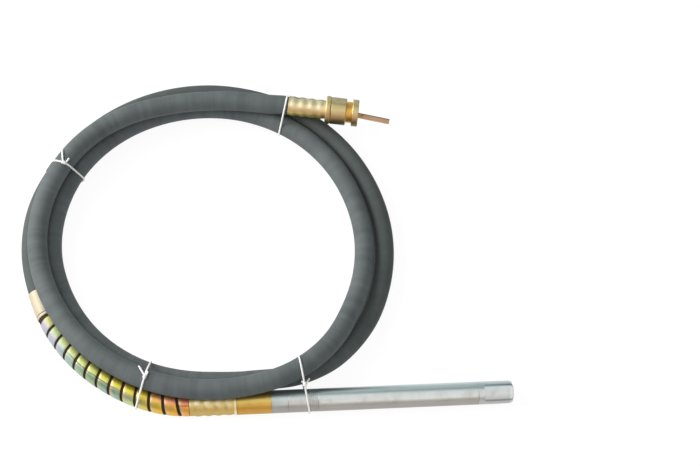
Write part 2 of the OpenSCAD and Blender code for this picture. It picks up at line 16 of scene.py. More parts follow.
import bpy
import numpy as np
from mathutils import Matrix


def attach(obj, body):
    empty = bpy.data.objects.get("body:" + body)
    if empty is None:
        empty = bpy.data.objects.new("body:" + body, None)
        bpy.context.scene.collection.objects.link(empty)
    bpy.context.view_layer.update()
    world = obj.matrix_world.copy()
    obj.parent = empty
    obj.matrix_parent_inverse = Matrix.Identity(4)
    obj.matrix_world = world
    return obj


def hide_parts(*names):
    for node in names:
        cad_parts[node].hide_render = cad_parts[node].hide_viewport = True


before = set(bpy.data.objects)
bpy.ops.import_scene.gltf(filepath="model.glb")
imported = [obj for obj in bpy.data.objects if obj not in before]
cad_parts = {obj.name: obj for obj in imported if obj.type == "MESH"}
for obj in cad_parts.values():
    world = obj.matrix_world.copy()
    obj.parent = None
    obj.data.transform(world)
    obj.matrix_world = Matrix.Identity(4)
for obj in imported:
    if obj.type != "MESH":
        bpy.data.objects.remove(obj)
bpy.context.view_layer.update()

MM = 0.001
LAY = "lay"

# Share of a corner's shorter side that its easing may take.
MOST_EASING = 0.24

# Points on each wave of a crimp.
WAVE_POINTS = 10

# Numbers of the sockets that can't be told apart by name.
MIX_FACTOR, MIX_FIRST, MIX_SECOND, MIX_RESULT = 0, 6, 7, 2
ATTRIBUTE_VECTOR = 1
OBJECT_PLACE = 3

log = logging.getLogger("poker")

Triple = tuple[float, float, float]
Value = Union["Signal", float]


class Body(Enum):
    """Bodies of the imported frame."""

    POKER = "poker"
    TIP = "tip"


class Slot(Enum):
    """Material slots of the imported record."""

    BRIGHT_STEEL = "bright_steel"
    GROUND_STEEL = "ground_steel"
    DULL_STEEL = "dull_steel"
    ZINC_OCHRE = "zinc_ochre"
    ZINC_GOLD = "zinc_gold"
    ZINC_PALE_GOLD = "zinc_pale_gold"
    ZINC_RAINBOW = "zinc_rainbow"
    CORE_COPPER = "core_copper"
    HOSE_RUBBER = "hose_rubber"
    WHITE_STRING = "white_string"


class Signal:
    """Output socket of a node, on which Python's operators add Math and Vector Math nodes."""

    def __init__(self, graph: Graph, socket: bpy.types.NodeSocket) -> None:
        """Wraps a socket of a graph."""
        self.graph = graph
        self.socket = socket

    def __add__(self, other: Value) -> Signal:
        """Sum."""
        return self.graph.maths("ADD", self, other)

    def __radd__(self, other: Value) -> Signal:
        """Sum with a number on the left."""
        return self.graph.maths("ADD", other, self)

    def __sub__(self, other: Value) -> Signal:
        """Difference."""
        return self.graph.maths("SUBTRACT", self, other)

    def __rsub__(self, other: Value) -> Signal:
        """Difference from a number."""
        return self.graph.maths("SUBTRACT", other, self)

    def __mul__(self, other: Value) -> Signal:
        """Product."""
        return self.graph.maths("MULTIPLY", self, other)

    def __rmul__(self, other: Value) -> Signal:
        """Product with a number on the left."""
        return self.graph.maths("MULTIPLY", other, self)

    def __truediv__(self, other: Value) -> Signal:
        """Quotient."""
        return self.graph.maths("DIVIDE", self, other)

    def __rtruediv__(self, other: Value) -> Signal:
        """Quotient of a number by this value."""
        return self.graph.maths("DIVIDE", other, self)

    def stretched(self, factors: Triple) -> Signal:
        """Vector with each part multiplied by its own factor."""
        sockets = {0: self, 1: factors}
        return self.graph.node("VectorMath", {"operation": "MULTIPLY"}, sockets)

    def parts(self) -> tuple[Signal, Signal, Signal]:
        """X, Y and Z of a vector."""
        split = self.graph.node("SeparateXYZ", sockets={0: self}).socket.node
        return tuple(Signal(self.graph, out) for out in split.outputs)

    def fraction(self) -> Signal:
        """Part of the value after its whole number."""
        return self.graph.maths("FRACT", self)

    def magnitude(self) -> Signal:
        """Value without its sign."""
        return self.graph.maths("ABSOLUTE", self)

    def near(self, place: float, full: float, none: float) -> Signal:
        """Share that is 1 up to the distance full from a place and 0 from the distance none on."""
        return 1.0 - (self - place).magnitude().eased(full, none)

    def sine(self) -> Signal:
        """Sine of the value in radians."""
        return self.graph.maths("SINE", self)

    def turn_from(self, across: Signal) -> Signal:
        """Angle of the point (across, this), in whole turns."""
        return self.graph.maths("ARCTAN2", self, across) / math.tau

    def eased(self, low: float, high: float) -> Signal:
        """Smooth step from 0 at low to 1 at high."""
        settings = {"interpolation_type": "SMOOTHSTEP"}
        return self.graph.node("MapRange", settings, {0: self, 1: low, 2: high, 3: 0.0, 4: 1.0})


class Graph:
    """Node graph of one material."""

    def __init__(self, name: str) -> None:
        """Starts an empty material.

        Args:
            name: Name of the material.
        """
        self.material = bpy.data.materials.new(name)
        self.material.use_nodes = True
        self.tree = self.material.node_tree
        self.tree.nodes.clear()

    def node(
        self,
        kind: str,
        settings: Optional[Mapping[str, Any]] = None,
        sockets: Optional[Mapping[Union[str, int], Any]] = None,
        output: int = 0,
    ) -> Signal:
        """Adds a node.

        Args:
            kind: The node's type without its ShaderNode prefix.
            settings: Properties, set first; stops are a ramp's (place, colour) pairs.
            sockets: Values or signals by the input's name or number.
            output: Number of the output that is wanted.

        Returns:
            The signal of that output.
        """
        made = self.tree.nodes.new("ShaderNode" + kind)
        for key, value in (settings or {}).items():
            if key == "stops":
                self._set_stops(made.color_ramp, value)
            else:
                setattr(made, key, value)
        for key, value in (sockets or {}).items():
            self._feed(made.inputs[key], value)
        return Signal(self, made.outputs[output])

    def _set_stops(self, ramp: bpy.types.ColorRamp, stops: Sequence[tuple[float, Triple]]) -> None:
        """Gives a ramp its stops.

        Args:
            ramp: A new ramp, which has two stops.
            stops: Places from 0 to 1 with their colours.
        """
        (place, colour), *others = stops
        ramp.elements.remove(ramp.elements[1])
        ramp.elements[0].position = place
        ramp.elements[0].color = (*colour, 1.0)
        for place, colour in others:
            ramp.elements.new(place).color = (*colour, 1.0)

    def _feed(self, socket: bpy.types.NodeSocket, value: Any) -> None:
        """Links a signal to an input, or sets the input's own value.

        Args:
            socket: The input.
            value: A signal, a number, or three numbers of a colour or vector.
        """
        if isinstance(value, Signal):
            self.tree.links.new(value.socket, socket)
        elif socket.type == "RGBA":
            socket.default_value = (*value, 1.0)
        else:
            socket.default_value = value

    def maths(self, operation: str, *values: Value) -> Signal:
        """Math node on one or two values."""
        return self.node("Math", {"operation": operation}, dict(enumerate(values)))

    def mix(self, factor: Value, first: Any, second: Any) -> Signal:
        """Colour between two colours or signals, at a factor."""
        sockets = {MIX_FACTOR: factor, MIX_FIRST: first, MIX_SECOND: second}
        return self.node("Mix", {"data_type": "RGBA"}, sockets, MIX_RESULT)

    def ramp(self, value: Signal, stops: Sequence[tuple[float, Triple]]) -> Signal:
        """Colour of a value on a smooth ramp."""
        return self.node("ValToRGB", {"stops": stops}, {0: value})

    def lay(self) -> Signal:
        """The piece's own coordinates, in millimetres."""
        return self.node("Attribute", {"attribute_name": LAY}, output=ATTRIBUTE_VECTOR)

    def place(self) -> Signal:
        """Object coordinates, in millimetres."""
        return self.node("TexCoord", output=OBJECT_PLACE).stretched((1 / MM, 1 / MM, 1 / MM))

    def noise(self, at: Signal, size: float, detail: float = 3.0, rough: float = 0.55) -> Signal:
        """Soft noise from 0 to 1 with lumps of a size in millimetres."""
        sockets = {"Vector": at, "Scale": 1 / size, "Detail": detail, "Roughness": rough}
        return self.node("TexNoise", sockets=sockets)

    def surface(
        self,
        sockets: Mapping[str, Any],
        relief: Optional[Signal] = None,
        depth: float = 0.0,
    ) -> None:
        """Ends the graph in one shader.

        Args:
            sockets: Values or signals of the shader's inputs by name.
            relief: Height of the fine relief, from 0 to 1.
            depth: Depth of that relief in millimetres.
        """
        inputs = dict(sockets)
        if relief is not None:
            inputs["Normal"] = self.node("Bump", sockets={"Distance": depth * MM, "Height": relief})
        shader = self.node("BsdfPrincipled", sockets=inputs)
        self.end_in(shader)

    def end_in(self, shader: Signal) -> None:
        """Links a shader to the material's output."""
        made = self.tree.nodes.new("ShaderNodeOutputMaterial")
        self._feed(made.inputs["Surface"], shader)


@dataclass(frozen=True)
class Finish:
    """Surface finish with a name of its own."""

    name: str

    def material(self) -> bpy.types.Material:
        """The finish's material, made at its first use.

        Returns:
            The material, which all pieces with this finish share.
        """
        name = f"{self.name}_look"
        found = bpy.data.materials.get(name)
        if found is None:
            graph = Graph(name)
            self.paint(graph)
            found = graph.material
        return found

    def paint(self, graph: Graph) -> None:
        """Fills the graph; each finish has its own way."""
        raise NotImplementedError


@dataclass(frozen=True)
class HoseRubber(Finish):
    """Slate-grey rubber with faint bands from its wrapping, and near-black painted shade under the guard.

    Attributes:
        slate: Rubber as it was moulded.
        worn: Rubber rubbed pale.
        dust: Dust along the underside.
        grease: Near-black painted shade on the hose in the gaps of the guard.
        last_turn_shade: Painted shade on the last turn of the coil, in its lowest layer.
        radius: Radius of the hose.
        guard_shade_from: Length along the hose from which that painted shade covers it.
        last_turn_shade_from: Length along the hose from which that painted shade sets in.
        last_turn_shade_over: Length over which the painted shade sets in.
        band: Length of the bands.
        cloud: Size of the worn clouds.
        grain: Size of the grain.
        relief: Depth of bands and grain.
    """

    slate: Triple = (0.088, 0.102, 0.102)
    worn: Triple = (0.132, 0.151, 0.151)
    dust: Triple = (0.18, 0.18, 0.14)
    # Near-black painted shade on the hose under the guard.
    grease: Triple = (0.035, 0.027, 0.017)
    last_turn_shade: Triple = (0.066, 0.076, 0.072)
    radius: float = 16.0
    guard_shade_from: float = 4000.0
    last_turn_shade_from: float = 2700.0
    last_turn_shade_over: float = 300.0
    band: float = 13.0
    cloud: float = 60.0
    grain: float = 1.1
    relief: float = 0.12

    def paint(self, graph: Graph) -> None:
        """Irregular bands across the hose, cloudy wear, dust below, painted shade on the last turn and under
        the guard.

        Args:
            graph: Graph of the material.
        """
        lay = graph.lay()
        along, _, up = lay.parts()
        bands = graph.noise(lay.stretched((1.0, 0.1, 0.1)), self.band, 2.0, 0.5).eased(0.3, 0.7)
        clouds = graph.noise(lay, self.cloud, 4.0).eased(0.3, 0.7)
        grain = graph.noise(lay, self.grain, 3.0, 0.7)
        below = (up / -self.radius).eased(-0.2, 1.0)
        dusty = below * clouds * 0.3 + grain.eased(0.58, 0.8) * 0.12
        colour = graph.mix(bands * 0.45 + clouds * 0.5, self.slate, self.worn)
        colour = graph.mix(dusty, colour, self.dust)
        # Painted shade: the last turn of the coil, in its lowest layer, is darkened.
        last_turn_shaded = (along - self.last_turn_shade_from).eased(0.0, self.last_turn_shade_over)
        colour = graph.mix(last_turn_shaded * 0.6, colour, self.last_turn_shade)
        # Painted shade: the hose under the guard, seen in the narrow gaps between the strip's turns, goes
        # near-black.
        under_guard = (along - self.guard_shade_from).eased(0.0, 1.0)
        graph.surface(
            {
                "Base Color": graph.mix(under_guard, colour, self.grease),
                "Roughness": 0.55 + bands * 0.1 + dusty * 0.3,
                "Specular IOR Level": 0.08,
            },
            relief=bands * 0.5 + grain * 0.5,
            depth=self.relief,
        )


class Plating(Enum):
    """Zinc tints by the share of a turn round a piece, painted lighter above and darker below as light and
    shade.

    The stops are the far side, the upper side, the crown, the lower side, the underside, and the far side
    again.
    """

    OCHRE = (
        (0.07, (0.30, 0.21, 0.05)), (0.18, (0.68, 0.50, 0.16)), (0.28, (0.74, 0.53, 0.14)),
        (0.37, (0.66, 0.35, 0.07)), (0.55, (0.48, 0.29, 0.04)), (1.0, (0.30, 0.21, 0.05)),
    )
    GOLD = (
        (0.07, (0.36, 0.29, 0.10)), (0.17, (0.62, 0.50, 0.22)), (0.25, (0.84, 0.66, 0.29)),
        (0.41, (0.66, 0.45, 0.15)), (0.53, (0.50, 0.40, 0.11)), (1.0, (0.36, 0.29, 0.10)),
    )
    STRAW = (
        (0.10, (0.24, 0.20, 0.07)), (0.20, (0.74, 0.69, 0.47)), (0.30, (0.84, 0.71, 0.46)),
        (0.42, (0.78, 0.50, 0.20)), (0.53, (0.56, 0.52, 0.10)), (1.0, (0.24, 0.20, 0.07)),
    )
    BRASSY = (
        (0.12, (0.34, 0.31, 0.20)), (0.21, (0.64, 0.55, 0.29)), (0.31, (0.62, 0.50, 0.24)),
        (0.42, (0.62, 0.36, 0.17)), (0.51, (0.20, 0.22, 0.12)), (1.0, (0.34, 0.31, 0.20)),
    )
    CREAM = (
        (0.07, (0.38, 0.34, 0.24)), (0.20, (0.45, 0.40, 0.29)), (0.32, (0.48, 0.42, 0.29)),
        (0.46, (0.49, 0.40, 0.30)), (0.58, (0.42, 0.34, 0.20)), (1.0, (0.38, 0.34, 0.24)),
    )


@dataclass(frozen=True)
class ZincPlate(Finish):
    """Satin zinc plating on turned or pressed steel, with painted light and shade round the piece.

    Attributes:
        plating: Tints round the piece, with painted light and shade.
        rough: Least roughness.
        metallic: How far it mirrors like bare metal.
        groove_x: Place along the piece of a groove with painted shade in it.
        stretch: Start and end of a stretch along the piece with a tint of its own.
        stretch_tint: That tint.
        groove_shade: Dark colour of that painted shade.
        groove_shade_share: How strongly the painted shade covers the groove.
        crests: Place along the piece of a crimp's first crest, and the distance from crest to crest.
        crest_highlight: Pale painted highlight on the upper side of the crests.
        highlight_turn: Share of a turn at the middle of that painted highlight.
        highlight_fade: Length along which the painted highlight fades.
        cloud: Size of the clouds in the film.
        line: Size of the turning lines.
        spot: Size of the dull spots.
        run: Width of the runs where the film drained along the piece.
        relief: Depth of lines and spots.
    """

    plating: Plating = Plating.OCHRE
    rough: float = 0.34
    metallic: float = 0.96
    groove_x: float = math.inf
    stretch: tuple[float, float] = (math.inf, math.inf)
    stretch_tint: Triple = (0.96, 0.84, 0.50)
    groove_shade: Triple = (0.06, 0.035, 0.015)
    groove_shade_share: float = 0.85
    crests: tuple[float, float] = (math.inf, 1.0)
    crest_highlight: Triple = (0.98, 0.87, 0.58)
    highlight_turn: float = 0.28
    highlight_fade: float = 60.0
    cloud: float = 14.0
    line: float = 0.6
    spot: float = 2.2
    run: float = 2.6
    relief: float = 0.02

    def paint(self, graph: Graph) -> None:
        """Painted light and shade round the piece, clouds, turning lines, runs, dull spots, painted
        highlights and painted shade.

        Args:
            graph: Graph of the material.
        """
        (_, far), (_, upper), *_ = self.plating.value
        lay = graph.lay()
        along, across, up = lay.parts()
        clouds = graph.noise(lay, self.cloud, 4.0)
        lines = graph.noise(lay.stretched((1.0, 0.03, 0.03)), self.line, 3.0, 0.7)
        spots = graph.noise(lay, self.spot, 4.0, 0.65).eased(0.6, 0.75)
        runs = graph.noise(lay.stretched((0.07, 1.0, 1.0)), self.run, 3.0, 0.6).eased(0.48, 0.7)
        # Painted light and shade: the tints follow the angle round the piece, lighter above and darker
        # below.
        phase = (up.turn_from(across) + 1.0 + (clouds - 0.5) * 0.12).fraction()
        colour = graph.mix(clouds.eased(0.45, 0.75) * 0.3, graph.ramp(phase, self.plating.value), upper)
        if math.isfinite(self.stretch[0]):
            start, end = self.stretch
            within = (along - start).eased(-0.2, 0.2) * (end - along).eased(-0.2, 0.2)
            colour = graph.mix(within * 0.85, colour, self.stretch_tint)
        colour = graph.mix((spots * 0.3 + runs * 0.3).eased(0.0, 1.0), colour, far)
        metallic: Value = self.metallic
        # Painted highlights: pale, less metallic spots on the upper side of each crest, fading along the
        # piece.
        if math.isfinite(self.crests[0]):
            first, spacing = self.crests
            crest = ((along - first) / spacing + 1.5).fraction().near(0.5, 0.08, 0.42)
            fading = 1.0 - (along - first).eased(0.0, self.highlight_fade) * 0.7
            worn = crest * phase.near(self.highlight_turn, 0.01, 0.08) * fading
            colour = graph.mix(worn * 0.9, colour, self.crest_highlight)
            metallic = self.metallic - worn * 0.3
        # Painted shade: a dark line in the groove.
        if math.isfinite(self.groove_x):
            in_groove = along.near(self.groove_x, 0.4, 0.8)
            colour = graph.mix(in_groove * self.groove_shade_share, colour, self.groove_shade)
        graph.surface(
            {
                "Base Color": colour,
                "Metallic": metallic,
                "Roughness": self.rough + clouds * 0.1 + spots * 0.2,
            },
            relief=lines * 0.6 + (1.0 - spots) * 0.4,
            depth=self.relief,
        )


@dataclass(frozen=True)
class RainbowZinc(Finish):
    """Iridescent zinc on the wound strip: its film thickens from the band to the head.

    Attributes:
        pitch: Length of a turn along the hose.
        turns: Number of turns.
        start_turn: Angle of the strip's middle at its start, in degrees.
        strip_w: Width of the strip.
        radius: Outer radius of the strip.
        brown: Dark brown of the scuffs, and of the painted shade at the strip's edges and towards the coil.
        teal: Bluish patches on the outer side.
        blush: Pink towards the edge nearer the band.
        inside: Tints along the guard, on the side towards the coil's middle.
        outside: Tints along the guard, on the outer side.
        drift: Size of the lumps in which the tints drift.
        patch: Size of the bluish patches.
        scuff: Size of the scuffs.
        line: Size of the rolling lines.
        relief: Depth of lines and scuffs.
    """

    pitch: float = 22.4
    turns: int = 13
    start_turn: float = -60.0
    strip_w: float = 19.2
    radius: float = 17.0
    brown: Triple = (0.09, 0.05, 0.02)
    teal: Triple = (0.20, 0.34, 0.33)
    blush: Triple = (0.80, 0.50, 0.33)
    inside: tuple[tuple[float, Triple], ...] = (
        (0.0, (0.46, 0.40, 0.07)),
        (0.11, (0.31, 0.42, 0.15)),
        (0.22, (0.38, 0.43, 0.17)),
        (0.42, (0.45, 0.47, 0.13)),
        (0.55, (0.64, 0.56, 0.06)),
        (0.73, (0.74, 0.57, 0.05)),
        (0.84, (0.88, 0.38, 0.18)),
        (1.0, (0.74, 0.20, 0.15)),
    )
    outside: tuple[tuple[float, Triple], ...] = (
        (0.0, (0.36, 0.33, 0.40)),
        (0.16, (0.34, 0.36, 0.41)),
        (0.28, (0.33, 0.44, 0.37)),
        (0.42, (0.36, 0.46, 0.27)),
        (0.55, (0.33, 0.46, 0.38)),
        (0.66, (0.50, 0.62, 0.32)),
        (0.78, (0.74, 0.56, 0.07)),
        (1.0, (0.82, 0.34, 0.06)),
    )
    drift: float = 9.0
    patch: float = 15.0
    scuff: float = 1.8
    line: float = 0.8
    relief: float = 0.02

    def paint(self, graph: Graph) -> None:
        """Two ramps along the guard, one for each side of the hose, a dark line between them, painted shade
        at the edges.

        The outer side has bluish patches, and each later turn blushes towards the edge nearer the band. The
        side towards the coil gets painted shade, and the strip's first few millimetres, at the band, are
        painted dark.

        Args:
            graph: Graph of the material.
        """
        lay = graph.lay()
        along, side, up = lay.parts()
        place = graph.place()
        drift = graph.noise(place, self.drift, 3.0) - 0.5
        share = along / (self.pitch * self.turns) + drift * 0.08
        level = side / self.radius + 0.35 + drift * 0.3
        inner = level.eased(-0.3, 0.3)
        patches = graph.noise(place, self.patch, 4.0).eased(0.5, 0.65)
        bluish = patches * (1.0 - share.eased(0.6, 0.75)) * share.eased(0.15, 0.25)
        outer = graph.mix(bluish * 0.6, graph.ramp(share, self.outside), self.teal)
        colour = graph.mix(inner, outer, graph.ramp(share, self.inside))
        lined = share.eased(0.15, 0.3) * (1.0 - share.eased(0.55, 0.7)) + share.eased(0.9, 0.95)
        line = level.near(-0.05, 0.02, 0.09) * lined
        phase = along / self.pitch - up.turn_from(side) + (self.start_turn / 360.0 + 0.5)
        within = phase.fraction()
        blushed = (1.0 - within.eased(0.18, 0.42)) * share.eased(0.4, 0.6) * 0.6
        colour = graph.mix(blushed, colour, self.blush)
        across = (within - 0.5).magnitude() * self.pitch
        half = self.strip_w / 2
        # Painted shade: the strip's edges, and its first millimetres at the band, darken.
        edge = across.eased(half - 1.5, half - 0.7) + (1.0 - along.eased(1.2, 2.2))
        scuffs = graph.noise(place, self.scuff, 4.0, 0.7).eased(0.58, 0.74)
        # Painted shade: the side towards the coil, under the next strand, darkens.
        coil_side_shade = level.eased(0.4, 1.0) * 0.6
        scuffs_and_shade = (line * 0.6 + edge * 0.8 + scuffs * 0.25 + coil_side_shade).eased(0.0, 1.0)
        lines = graph.noise(lay.stretched((1.0, 0.05, 0.05)), self.line, 3.0, 0.7)
        graph.surface(
            {
                "Base Color": graph.mix(scuffs_and_shade, colour, self.brown),
                "Metallic": 0.12 + share.eased(0.1, 0.5) * 0.7,
                "Roughness": 0.36 + scuffs_and_shade * 0.25 + lines * 0.1,
            },
            relief=lines * 0.7 + (1.0 - scuffs) * 0.3,
            depth=self.relief,
        )


@dataclass(frozen=True)
class GroundSteel(Finish):
    """Bare steel ground round its axis, with handling marks, a painted cool reflection above and painted
    shade below.

    Attributes:
        steel: Clean steel.
        shade: Steel under clouds of oil film.
        rough: Least roughness.
        line_depth: Depth of the grinding lines in millimetres.
        pits_and_lower_shade: Dark steel of the pits, and of the painted shade along the lower side.
        shade_turn: Share of a turn at the middle of that painted shade.
        film: Painted bluish reflection along the upper side.
        reflection_turn: Share of a turn at the middle of that painted reflection.
        pitted: How dark the pits from knocks are.
        worn_from: Place along the piece from which its end is scoured pale.
        scoured: Steel of that end.
        edges: Shares of a turn at which flats end, where a dark line of painted shade runs.
        edges_from: Place along the piece from which those edges run.
        edge_shade: Colour of that painted shade.
        cloud: Size of the clouds of oil film.
        line: Size of the grinding lines.
        scratch: Width of the scratches.
        pit: Size of the pits.
    """

    steel: Triple = (0.655, 0.66, 0.65)
    shade: Triple = (0.54, 0.52, 0.49)
    rough: float = 0.32
    line_depth: float = 0.015
    pits_and_lower_shade: Triple = (0.36, 0.345, 0.315)
    shade_turn: float = 0.58
    film: Triple = (0.56, 0.67, 0.67)
    reflection_turn: float = 0.16
    pitted: float = 0.0
    worn_from: float = math.inf
    scoured: Triple = (0.68, 0.69, 0.69)
    edges: tuple[float, ...] = ()
    edges_from: float = 0.0
    edge_shade: Triple = (0.20, 0.23, 0.26)
    cloud: float = 22.0
    line: float = 0.45
    scratch: float = 0.8
    pit: float = 3.2

    def paint(self, graph: Graph) -> None:
        """Grinding lines round the piece, cloudy oil film, short scratches along it, pits, wear, painted
        reflection and shade.

        Args:
            graph: Graph of the material.
        """
        lay = graph.lay()
        along, across, up = lay.parts()
        clouds = graph.noise(lay, self.cloud, 5.0)
        lines = graph.noise(lay.stretched((1.0, 0.02, 0.02)), self.line, 4.0, 0.75)
        scratches = graph.noise(lay.stretched((0.06, 1.0, 1.0)), self.scratch, 2.0, 0.6).eased(0.64, 0.72)
        colour = graph.mix(clouds.eased(0.4, 0.75), self.steel, self.shade)
        colour = graph.mix(lines.eased(0.45, 0.8) * 0.25, colour, self.shade)
        phase = (up.turn_from(across) + 1.0).fraction()
        # Painted shade: the lower side darkens.
        lower = phase.near(self.shade_turn, 0.11, 0.29)
        # Painted reflection: the upper side turns bluish.
        upper = phase.near(self.reflection_turn, 0.05, 0.17)
        colour = graph.mix(upper * 0.8, colour, self.film)
        pits: Value = 0.0
        if self.pitted > 0.0:
            pits = graph.noise(lay, self.pit, 4.0, 0.7).eased(0.58, 0.7) * self.pitted
        if math.isfinite(self.worn_from):
            worn = (along - self.worn_from).eased(-1.0, 1.0)
            colour = graph.mix(worn, colour, self.scoured)
            lower = lower * (1.0 - worn * 0.5)
            pits = pits * (1.0 + worn * 0.4)
        # Pits, and the painted shade along the lower side.
        colour = graph.mix((lower * 0.9 + pits).eased(0.0, 1.0), colour, self.pits_and_lower_shade)
        # Painted shade: a dark line along each edge of the flats.
        for edge in self.edges:
            edge_line = phase.near(edge, 0.006, 0.022) * (along - self.edges_from).eased(0.0, 1.0)
            colour = graph.mix(edge_line * 0.8, colour, self.edge_shade)
        graph.surface(
            {
                "Base Color": colour,
                "Metallic": 1.0,
                "Roughness": self.rough + clouds * 0.12 + scratches * 0.12,
            },
            relief=lines * 0.8 + (1.0 - scratches) * 0.2,
            depth=self.line_depth,
        )


@dataclass(frozen=True)
class TwistedString(Finish):
    """White string of three twisted plies.

    Attributes:
        thread: Crown of a ply.
        shadow: Groove between plies.
        lead: Length of a whole twist.
        plies: Number of plies.
        fibre: Width of the fibres.
        relief: Depth of the twist.
    """

    thread: Triple = (0.93, 0.93, 0.92)
    shadow: Triple = (0.74, 0.74, 0.72)
    lead: float = 6.0
    plies: int = 3
    fibre: float = 0.25
    relief: float = 0.15

    def paint(self, graph: Graph) -> None:
        """Helical grooves between the plies and fine fibre noise.

        Args:
            graph: Graph of the material.
        """
        lay = graph.lay()
        along, across, up = lay.parts()
        phase = (along / self.lead * self.plies + up.turn_from(across) * self.plies).fraction()
        crown = (phase * math.pi).sine()
        fibres = graph.noise(lay.stretched((0.3, 1.0, 1.0)), self.fibre, 3.0, 0.7)
        colour = graph.mix(crown.eased(0.1, 0.7), self.shadow, self.thread)
        colour = graph.mix(fibres * 0.2, colour, self.shadow)
        graph.surface(
            {"Base Color": colour, "Roughness": 0.78 + fibres * 0.15},
            relief=crown * 0.8 + fibres * 0.2,
            depth=self.relief,
        )


@dataclass(frozen=True)
class CopperRod(Finish):
    """Drawn square rod, copper-tan with brown scale.

    Attributes:
        copper: Bright streaks.
        tan: Dull streaks.
        scale: Brown scale.
        upper_turn: Share of a turn at the corner that is dark brown along its length.
        streak: Width of the drawing streaks.
        patch: Size of the patches of scale.
        relief: Depth of the streaks.
    """

    copper: Triple = (0.56, 0.30, 0.15)
    tan: Triple = (0.56, 0.39, 0.26)
    scale: Triple = (0.12, 0.055, 0.025)
    upper_turn: float = 0.17
    streak: float = 1.1
    patch: float = 7.0
    relief: float = 0.03

    def paint(self, graph: Graph) -> None:
        """Long drawing streaks, with brown scale in patches, and the upper corner dark brown along its
        length.

        Args:
            graph: Graph of the material.
        """
        lay = graph.lay()
        _, across, up = lay.parts()
        upper = up.turn_from(across).near(self.upper_turn, 0.03, 0.06)
        streaks = graph.noise(lay.stretched((0.04, 1.0, 1.0)), self.streak, 4.0, 0.6)
        patches = graph.noise(lay.stretched((0.5, 1.0, 1.0)), self.patch, 4.0)
        darkened = (patches.eased(0.5, 0.8) * 0.6 + upper).eased(0.0, 1.0)
        colour = graph.mix(streaks.eased(0.35, 0.65), self.copper, self.tan)
        graph.surface(
            {
                "Base Color": graph.mix(darkened, colour, self.scale),
                "Metallic": 0.8,
                "Roughness": 0.38 + patches * 0.2,
            },
            relief=streaks,
            depth=self.relief,
        )


@dataclass(frozen=True)
class WoundWire(Finish):
    """Layers of drawn wire wound into a flexible core.

    Attributes:
        wire: Crown of a wire.
        groove: Painted shade in the grooves between wires.
        pitch: Distance from wire to wire.
        starts: Number of wires wound side by side.
        film: Size of the patches of grease.
        relief: Depth of the grooves.
    """

    wire: Triple = (0.40, 0.27, 0.17)
    groove: Triple = (0.06, 0.04, 0.03)
    pitch: float = 1.6
    starts: float = 4.0
    film: float = 6.0
    relief: float = 0.25

    def paint(self, graph: Graph) -> None:
        """Helical grooves between the wires, painted darker as shade, with a film of grease.

        Args:
            graph: Graph of the material.
        """
        lay = graph.lay()
        along, across, up = lay.parts()
        phase = (along / self.pitch + up.turn_from(across) * self.starts).fraction()
        crown = (phase * math.pi).sine()
        grease = graph.noise(lay, self.film, 3.0)
        # Painted shade: the grooves between wires are darker.
        graph.surface(
            {
                "Base Color": graph.mix(crown.eased(0.15, 0.6), self.groove, self.wire),
                "Metallic": 0.9,
                "Roughness": 0.3 + grease * 0.2,
            },
            relief=crown,
            depth=self.relief,
        )


@dataclass(frozen=True)
class InnerMetal(Finish):
    """Oiled metal of the closed drive, turned about the head's axis.

    Attributes:
        metal: Clean metal.
        oil: Metal under oil.
        rough: Least roughness.
        film: Size of the patches of oil.
        line: Size of the turning lines.
        relief: Depth of the lines.
    """

    metal: Triple = (0.36, 0.36, 0.37)
    oil: Triple = (0.20, 0.18, 0.13)
    rough: float = 0.3
    film: float = 9.0
    line: float = 0.5
    relief: float = 0.015

    def paint(self, graph: Graph) -> None:
        """Turning lines across the axis under a patchy film of oil.

        Args:
            graph: Graph of the material.
        """
        place = graph.place()
        film = graph.noise(place, self.film, 4.0)
        lines = graph.noise(place.stretched((1.0, 0.04, 0.04)), self.line, 3.0, 0.7)
        graph.surface(
            {
                "Base Color": graph.mix(film.eased(0.45, 0.8) * 0.6, self.metal, self.oil),
                "Metallic": 1.0,
                "Roughness": self.rough + film * 0.12,
            },
            relief=lines,
            depth=self.relief,
        )


@dataclass(frozen=True)
class InnerRubber(Finish):
    """Moulded black rubber of the seal and the rubber coupling.

    Attributes:
        rubber: Rubber as it was moulded.
        bloom: Pale bloom on it.
        cloud: Size of the clouds of bloom.
        grain: Size of the grain.
        relief: Depth of the grain.
    """

    rubber: Triple = (0.016, 0.016, 0.017)
    bloom: Triple = (0.05, 0.05, 0.052)
    cloud: float = 7.0
    grain: float = 0.6
    relief: float = 0.05

    def paint(self, graph: Graph) -> None:
        """Pale bloom in clouds over a fine moulded grain.

        Args:
            graph: Graph of the material.
        """
        place = graph.place()
        clouds = graph.noise(place, self.cloud, 4.0)
        grain = graph.noise(place, self.grain, 3.0, 0.7)
        graph.surface(
            {
                "Base Color": graph.mix(clouds.eased(0.45, 0.8), self.rubber, self.bloom),
                "Roughness": 0.55 + clouds * 0.2,
            },
            relief=grain,
            depth=self.relief,
        )


@dataclass(frozen=True)
class FloorPaper(Finish):
    """Plain white paper under the object, lit through from below like a light table.

    Attributes:
        white: Palest of the paper's grain.
        grey: Darkest of the paper's grain.
        glow: Strength of the light through it.
        grain: Size of the grain.
    """

    white: Triple = (0.12, 0.12, 0.12)
    grey: Triple = (0.11, 0.11, 0.11)
    glow: float = 0.92
    grain: float = 40.0

    def paint(self, graph: Graph) -> None:
        """Even white with a trace of paper grain.

        Args:
            graph: Graph of the material.
        """
        grain = graph.noise(graph.place(), self.grain, 2.0)
        graph.surface(
            {
                "Base Color": graph.mix(grain, self.white, self.grey),
                "Roughness": 0.9,
                "Specular IOR Level": 0.0,
                "Emission Color": (1.0, 1.0, 1.0),
                "Emission Strength": self.glow,
            },
        )


